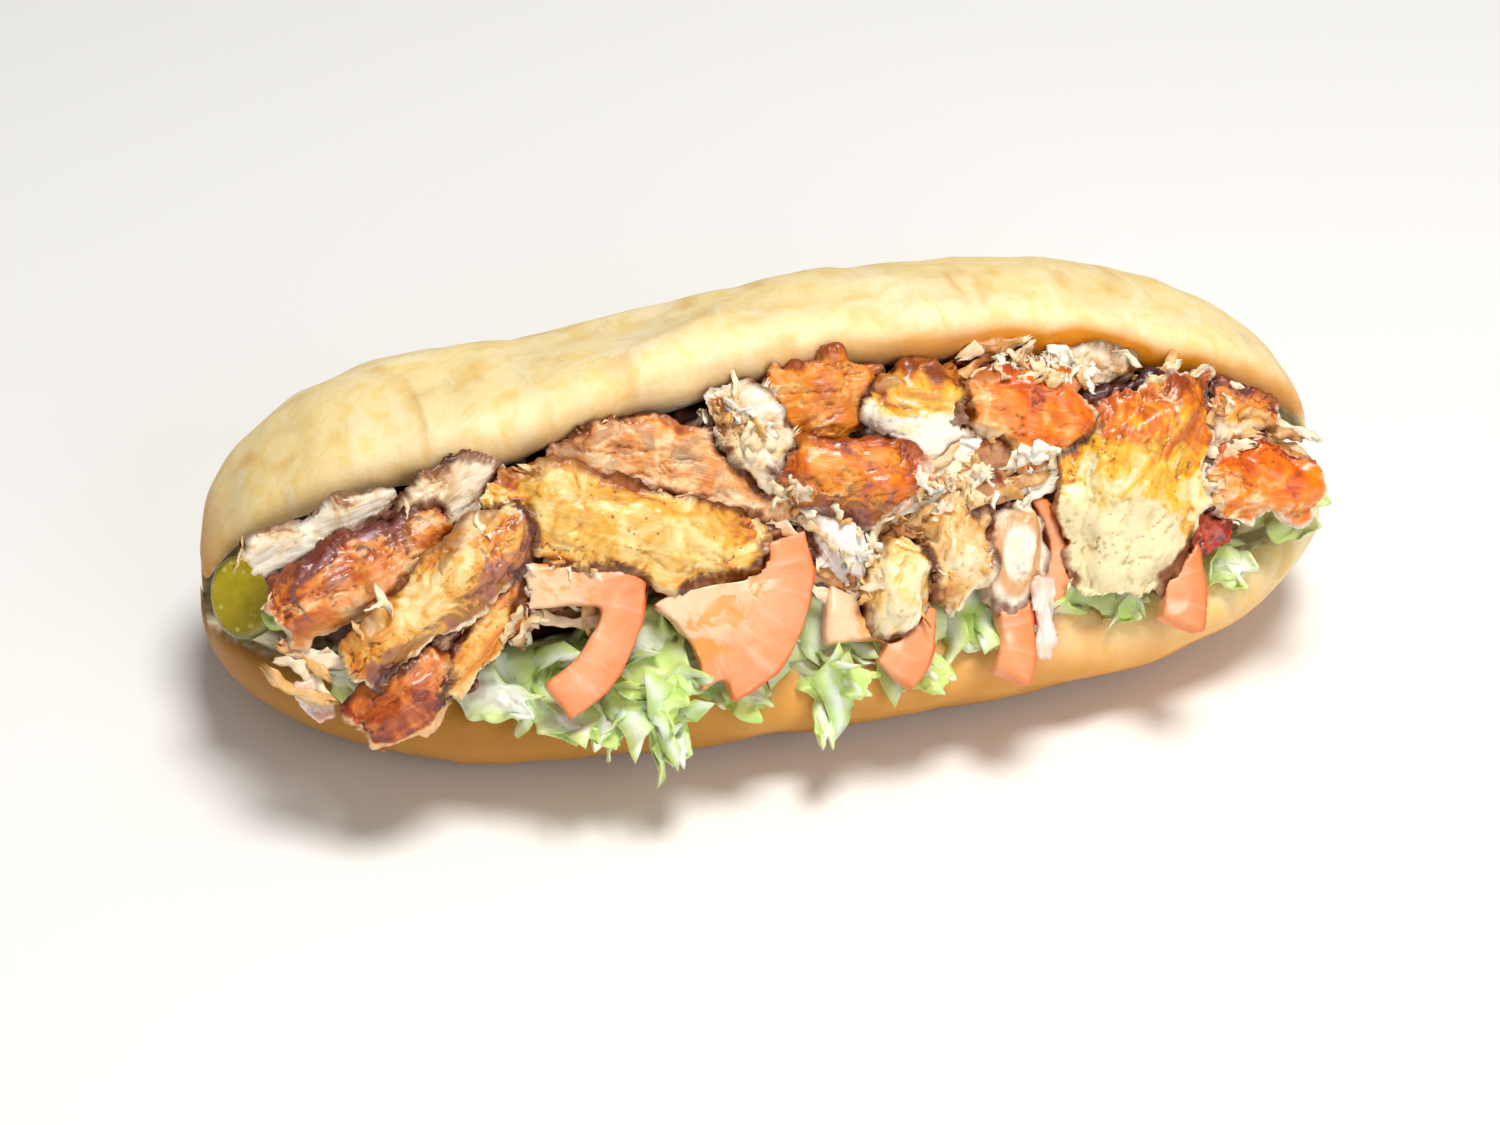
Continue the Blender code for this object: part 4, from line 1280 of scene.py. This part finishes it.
def surface_point(trees, along, up):
    """The outermost point of the given surfaces at a place on the open face."""
    start = FACE @ (Vector((along, up, 40)) * MM)
    hits = [tree.ray_cast(start, -OUT, 0.05)[0] for tree in trees]
    hits = [hit for hit in hits if hit]
    if not hits:
        return FACE @ (Vector((along, up, 4)) * MM)
    return max(hits, key=lambda hit: hit @ OUT)


def stand_for(obj, nodes):
    """Attaches a finished piece to the root body and hides the solids that it stands for."""
    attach(obj, "root")
    if nodes:
        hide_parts(*nodes)


def dress(obj, material, nodes):
    """Gives a finished piece its material and smooth shading, attaches it and hides the solids that
    it stands for.
    """
    obj.data.materials.clear()
    obj.data.materials.append(material)
    shade_smooth(obj.data)
    stand_for(obj, nodes)


class KEBAB_OT_roll(bpy.types.Operator):
    """Build the baked roll, with its crumb inside"""

    bl_idname = "kebab.roll"
    bl_label = "Bake the Roll"

    def execute(self, context):
        given = context.scene.kebab.roll
        obj = fine_copy("roll", given.grain, 24)
        mesh = obj.data
        points, normals = points_of(mesh), normals_of(mesh)
        cavity = np.tile((0.0, *HOLLOW), (len(points), 1))
        cavity[:, 0] = points[:, 0] * 0.9
        towards = cavity - points
        towards /= np.linalg.norm(towards, axis=1, keepdims=True)
        facing = (towards * normals).sum(1)
        store(mesh, "inside", smooth_step(facing, 0.10, 0.42))
        # The downward-facing lower front of the crown, which the crust paints with orange-gold
        # shade.
        rolled = smooth_step(-normals[:, 2], -0.85, -0.1) * smooth_step(points[:, 2], 0.044, 0.052)
        rolled *= smooth_step(-points[:, 1], -0.03, 0.0) * (1 - smooth_step(facing, 0.35, 0.6))
        store(mesh, "lip", rolled)
        store(mesh, "grain", points / MM * np.array((0.9, 0.5, 0.5)))
        store_touch(mesh, "roll", ROLL_STAIN)
        raise_relief(obj, relief_tree(), lumps=given.wrinkle)
        dress(obj, crust_material(given), ["roll"])
        return {"FINISHED"}


class KEBAB_OT_chicken(bpy.types.Operator):
    """Build each slice of roast chicken, with the frayed fibres of its sides"""

    bl_idname = "kebab.chicken"
    bl_label = "Carve the Chicken"

    def execute(self, context):
        given = context.scene.kebab.meat
        tree = relief_tree()
        sides = []
        for number, (node, roast) in enumerate(SLICES.items()):
            obj = fine_copy(node, given.grain, 2)
            store_grain(obj.data, number)
            store_touch(obj.data, node, MEAT_STAIN)
            raise_relief(obj, tree, given.flake, given.fibre, given.lumps, given.fray)
            dress(obj, roast_material(node.replace("_", " "), roast), [node])
            sides.append(obj.data)
        surface = joined("sides", sides)
        side = np.empty(len(surface.vertices), np.float32)
        surface.attributes["side"].data.foreach_get("value", side)
        store(surface, "where", side)
        threads = [
            small_strip("thread", 4 + i, 1.0 + 0.15 * i, 0.6, 0.3, 30 + i) for i in range(KINDS)
        ]
        frays = scattered(
            "frayed_fibres", surface, kinds_collection("threads", threads),
            loose_material("frayed fibres", "FAECCC", "EEBE78", "C86A20"),
            {"Density": float(given.threads), "Seed": 2, "Least": 0.6, "Most": 1.2, "Tumble": 1.0,
             "Facing": -0.1},
        )
        stand_for(frays, [])
        return {"FINISHED"}


class KEBAB_OT_chopped(bpy.types.Operator):
    """Build the chopped chicken under the slices, and the loose shreds on them"""

    bl_idname = "kebab.chopped"
    bl_label = "Chop the Chicken"

    def execute(self, context):
        given = context.scene.kebab.meat
        obj = fine_copy("meat_heap", CORE_STEP, 3)
        store_grain(obj.data, 40)
        store_touch(obj.data, "meat_heap", HEAP_STAIN)
        raise_relief(obj, relief_tree(), flake=0.0012, fibre=0.0004, lumps=0.0014)
        dress(obj, roast_material("chopped chicken", HEAP), ["meat_heap"])
        bits = scattered(
            "chopped_bits", everywhere(solid_copy("meat_heap")), self.kinds("bits", 7.0, 3.2, 60),
            loose_material("chopped bits", "FAE8C2", "E0A452", "96480E"),
            {"Density": float(given.bits), "Seed": 4, "Least": 0.7, "Most": 1.25, "Tumble": 1.0,
             "Facing": 0.25},
        )
        stand_for(bits, [])
        over = [piece for piece in context.scene.objects if piece.name.endswith("_look")]
        for shade in SHRED_TONES:
            self.shreds(shade, over)
        return {"FINISHED"}

    def shreds(self, shade, over):
        """The white or the brown shreds: pulled ones in their places, loose ones over the rest."""
        tones = SHRED_TONES[shade]
        pulled, patches = (
            [place for place in places if (place.brown >= BROWN_FROM) == (shade == "brown")]
            for places in (SHREDS, LOOSE)
        )
        ribbons = [ribbon for i, shred in enumerate(pulled) for ribbon in bundle(shred, 10 * i)]
        mesh = joined(f"pulled_{shade}_shreds", ribbons)
        store_depth(mesh)
        obj = put_in_scene(mesh.name, mesh)
        dress(obj, loose_material(f"pulled {shade} shreds", *tones), [])
        loose = scattered(
            f"loose_{shade}_shreds", draped(patches, over), self.kinds(shade, 5.0, 2.6, 90),
            loose_material(f"loose {shade} shreds", *tones),
            {"Density": 1.0, "Seed": 6, "Least": 0.7, "Most": 1.4, "Tumble": 1.3, "Facing": -1.0},
        )
        stand_for(loose, [])

    @staticmethod
    def kinds(name, length, width, seed):
        """Shreds of about that size in mm."""
        shapes = []
        for i in range(KINDS):
            long, wide = length * (0.8 + 0.15 * i), width * (0.6 + 0.1 * i)
            shapes.append(small_strip(name, long, wide, 1.0, 0.5, seed + i))
        return kinds_collection(name, shapes)


class KEBAB_OT_tomato(bpy.types.Operator):
    """Build the slices of tomato"""

    bl_idname = "kebab.tomato"
    bl_label = "Slice the Tomato"

    def execute(self, context):
        given = context.scene.kebab.salad
        material = tomato_material()
        tree = relief_tree()
        for number, (node, (along, up, radius)) in enumerate(ROUNDS.items()):
            obj = fine_copy(node, given.grain, 3)
            mesh = obj.data
            local = (points_of(mesh) - np.array(MOUTH_ORIGIN)) / MM
            x = local @ np.array(ALONG) - along
            y = local @ np.array(UP_FACE) - up
            rind = np.stack([np.hypot(x, y) / radius, np.arctan2(y, x), np.zeros(len(x))], 1)
            store(mesh, "rind", rind)
            store(mesh, "grain", points_of(mesh) / MM + number * 23)
            raise_relief(obj, tree, lumps=0.0006)
            dress(obj, material, [node])
        return {"FINISHED"}


class KEBAB_OT_lettuce(bpy.types.Operator):
    """Build the shredded lettuce"""

    bl_idname = "kebab.lettuce"
    bl_label = "Shred the Lettuce"

    def execute(self, context):
        given = context.scene.kebab.salad
        core = fine_copy("lettuce", CORE_STEP, 2)
        store_grain(core.data, 50)
        dress(core, lettuce_material("lettuce bed", given, 0.4), ["lettuce"])
        for number, leaf in enumerate(LEAVES, 1):
            mesh = leaf_mesh(leaf, number + 4)
            store_depth(mesh)
            obj = put_in_scene(f"leaf_{number}", mesh)
            dress(obj, lettuce_material(f"leaf {number}", given, leaf.lime), [])
        strips = [small_strip("shred", 17 + 2 * i, 4 + i, 0.9, 1.1, 80 + i) for i in range(KINDS)]
        shreds = scattered(
            "lettuce_shreds", everywhere(solid_copy("lettuce")), kinds_collection("shreds", strips),
            lettuce_material("lettuce shreds", given, 0.35),
            {"Density": float(given.shreds), "Seed": 9, "Least": 0.6, "Most": 1.1, "Tumble": 1.2,
             "Facing": 0.25},
        )
        stand_for(shreds, [])
        return {"FINISHED"}


class KEBAB_OT_trimmings(bpy.types.Operator):
    """Build the slice of pickle and the strips of onion"""

    bl_idname = "kebab.trimmings"
    bl_label = "Add Pickle and Onion"

    def execute(self, context):
        given = context.scene.kebab.salad
        obj = fine_copy("pickle", given.grain, 3)
        mesh = obj.data
        low, high = (np.array(corner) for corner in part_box("pickle"))
        away = (points_of(mesh) - (low + high) / 2) / MM
        flat = away - (away @ PICKLE_FACING)[:, None] * PICKLE_FACING
        radius = np.linalg.norm(flat, axis=1) / PICKLE_RADIUS
        store(mesh, "rind", np.stack([radius, np.zeros(len(radius)), np.zeros(len(radius))], 1))
        dress(obj, pickle_material(), ["pickle"])
        material = onion_material()
        for node in ("onion_strip", "onion_left", "onion_middle"):
            obj = fine_copy(node, ONION_STEP, 3)
            store_grain(obj.data, 70)
            raise_relief(obj, relief_tree(), fibre=0.0001, lumps=0.0005, fray=0.0007)
            dress(obj, material, [node])
        return {"FINISHED"}


def area_light(name, place, aim, size, power, colour=(1, 1, 1)):
    lamp = bpy.data.lights.new(name, "AREA")
    lamp.shape = "DISK"
    lamp.size = size
    lamp.energy = power
    lamp.color = colour
    obj = bpy.data.objects.new(name, lamp)
    obj.location = place
    obj.rotation_euler = (Vector(aim) - Vector(place)).to_track_quat("-Z", "Y").to_euler()
    bpy.context.scene.collection.objects.link(obj)


class KEBAB_OT_stage(bpy.types.Operator):
    """Set the floor, the lights and the camera"""

    bl_idname = "kebab.stage"
    bl_label = "Set the Stage"

    def execute(self, context):
        given = context.scene.kebab.stage
        self.floor(given)
        area_light(
            "key light", (0.12, -0.24, 1.25), (0, 0, 0.03), 0.45, given.key, (1, 0.985, 0.96)
        )
        area_light("fill light", (0.35, -1.1, 0.6), (0, 0, 0.04), 0.8, given.fill)
        world = bpy.data.worlds.new("studio")
        world.use_nodes = True
        background = world.node_tree.nodes["Background"]
        background.inputs["Color"].default_value = (1, 1, 1, 1)
        background.inputs["Strength"].default_value = given.sky
        context.scene.world = world
        context.scene.view_settings.view_transform = "Standard"
        self.camera(context)
        return {"FINISHED"}

    @staticmethod
    def floor(given):
        shape = bmesh.new()
        bmesh.ops.create_grid(shape, x_segments=1, y_segments=1, size=3.0)
        mesh = bpy.data.meshes.new("floor")
        shape.to_mesh(mesh)
        shape.free()
        material = finish_material(
            "pale floor", lambda g: {}, roughness=0.9, base_color=given.floor
        )
        mesh.materials.append(material)
        put_in_scene("floor", mesh)

    @staticmethod
    def camera(context):
        """Sets the camera so that the sandwich's middle lands on its pixel of the photograph."""
        turn, height = VIEW_TURN, VIEW_HEIGHT
        back = Vector((sin(turn) * cos(height), -cos(turn) * cos(height), sin(height)))
        right = Vector((cos(turn), sin(turn), 0))
        up = back.cross(right)
        pixel = VIEW_DISTANCE * 36 / (VIEW_LENS * IMAGE[0])
        aim = VIEW_MIDDLE - right * (MIDDLE_PIXEL[0] - IMAGE[0] / 2) * pixel
        aim -= up * (IMAGE[1] / 2 - MIDDLE_PIXEL[1]) * pixel
        data = bpy.data.cameras.new("camera")
        data.lens = VIEW_LENS
        data.sensor_width = 36
        data.clip_start = 0.01
        camera = bpy.data.objects.new("camera", data)
        turned = Matrix((right, up, back)).transposed().to_4x4()
        camera.matrix_world = Matrix.Translation(aim + back * VIEW_DISTANCE) @ turned
        context.scene.collection.objects.link(camera)
        context.scene.camera = camera


class KEBAB_PT_panel(bpy.types.Panel):
    """A button for each step of the sandwich, in the order in which they run."""

    bl_label = "Doner Kebab Sandwich"
    bl_idname = "KEBAB_PT_panel"
    bl_space_type = "VIEW_3D"
    bl_region_type = "UI"
    bl_category = "Kebab"

    def draw(self, context):
        for operator in OPERATORS:
            self.layout.operator(operator.bl_idname)


OPERATORS = (
    KEBAB_OT_roll,
    KEBAB_OT_chicken,
    KEBAB_OT_chopped,
    KEBAB_OT_tomato,
    KEBAB_OT_lettuce,
    KEBAB_OT_trimmings,
    KEBAB_OT_stage,
)
GROUPS = (RollSettings, MeatSettings, SaladSettings, StageSettings, KebabSettings)


def register():
    for kind in (*GROUPS, *OPERATORS, KEBAB_PT_panel):
        bpy.utils.register_class(kind)
    bpy.types.Scene.kebab = PointerProperty(type=KebabSettings)


def unregister():
    del bpy.types.Scene.kebab
    for kind in reversed((*GROUPS, *OPERATORS, KEBAB_PT_panel)):
        bpy.utils.unregister_class(kind)


def main():
    register()
    for operator in OPERATORS:
        name = operator.bl_idname.split(".")[1]
        getattr(bpy.ops.kebab, name)()


if __name__ == "__main__":
    main()
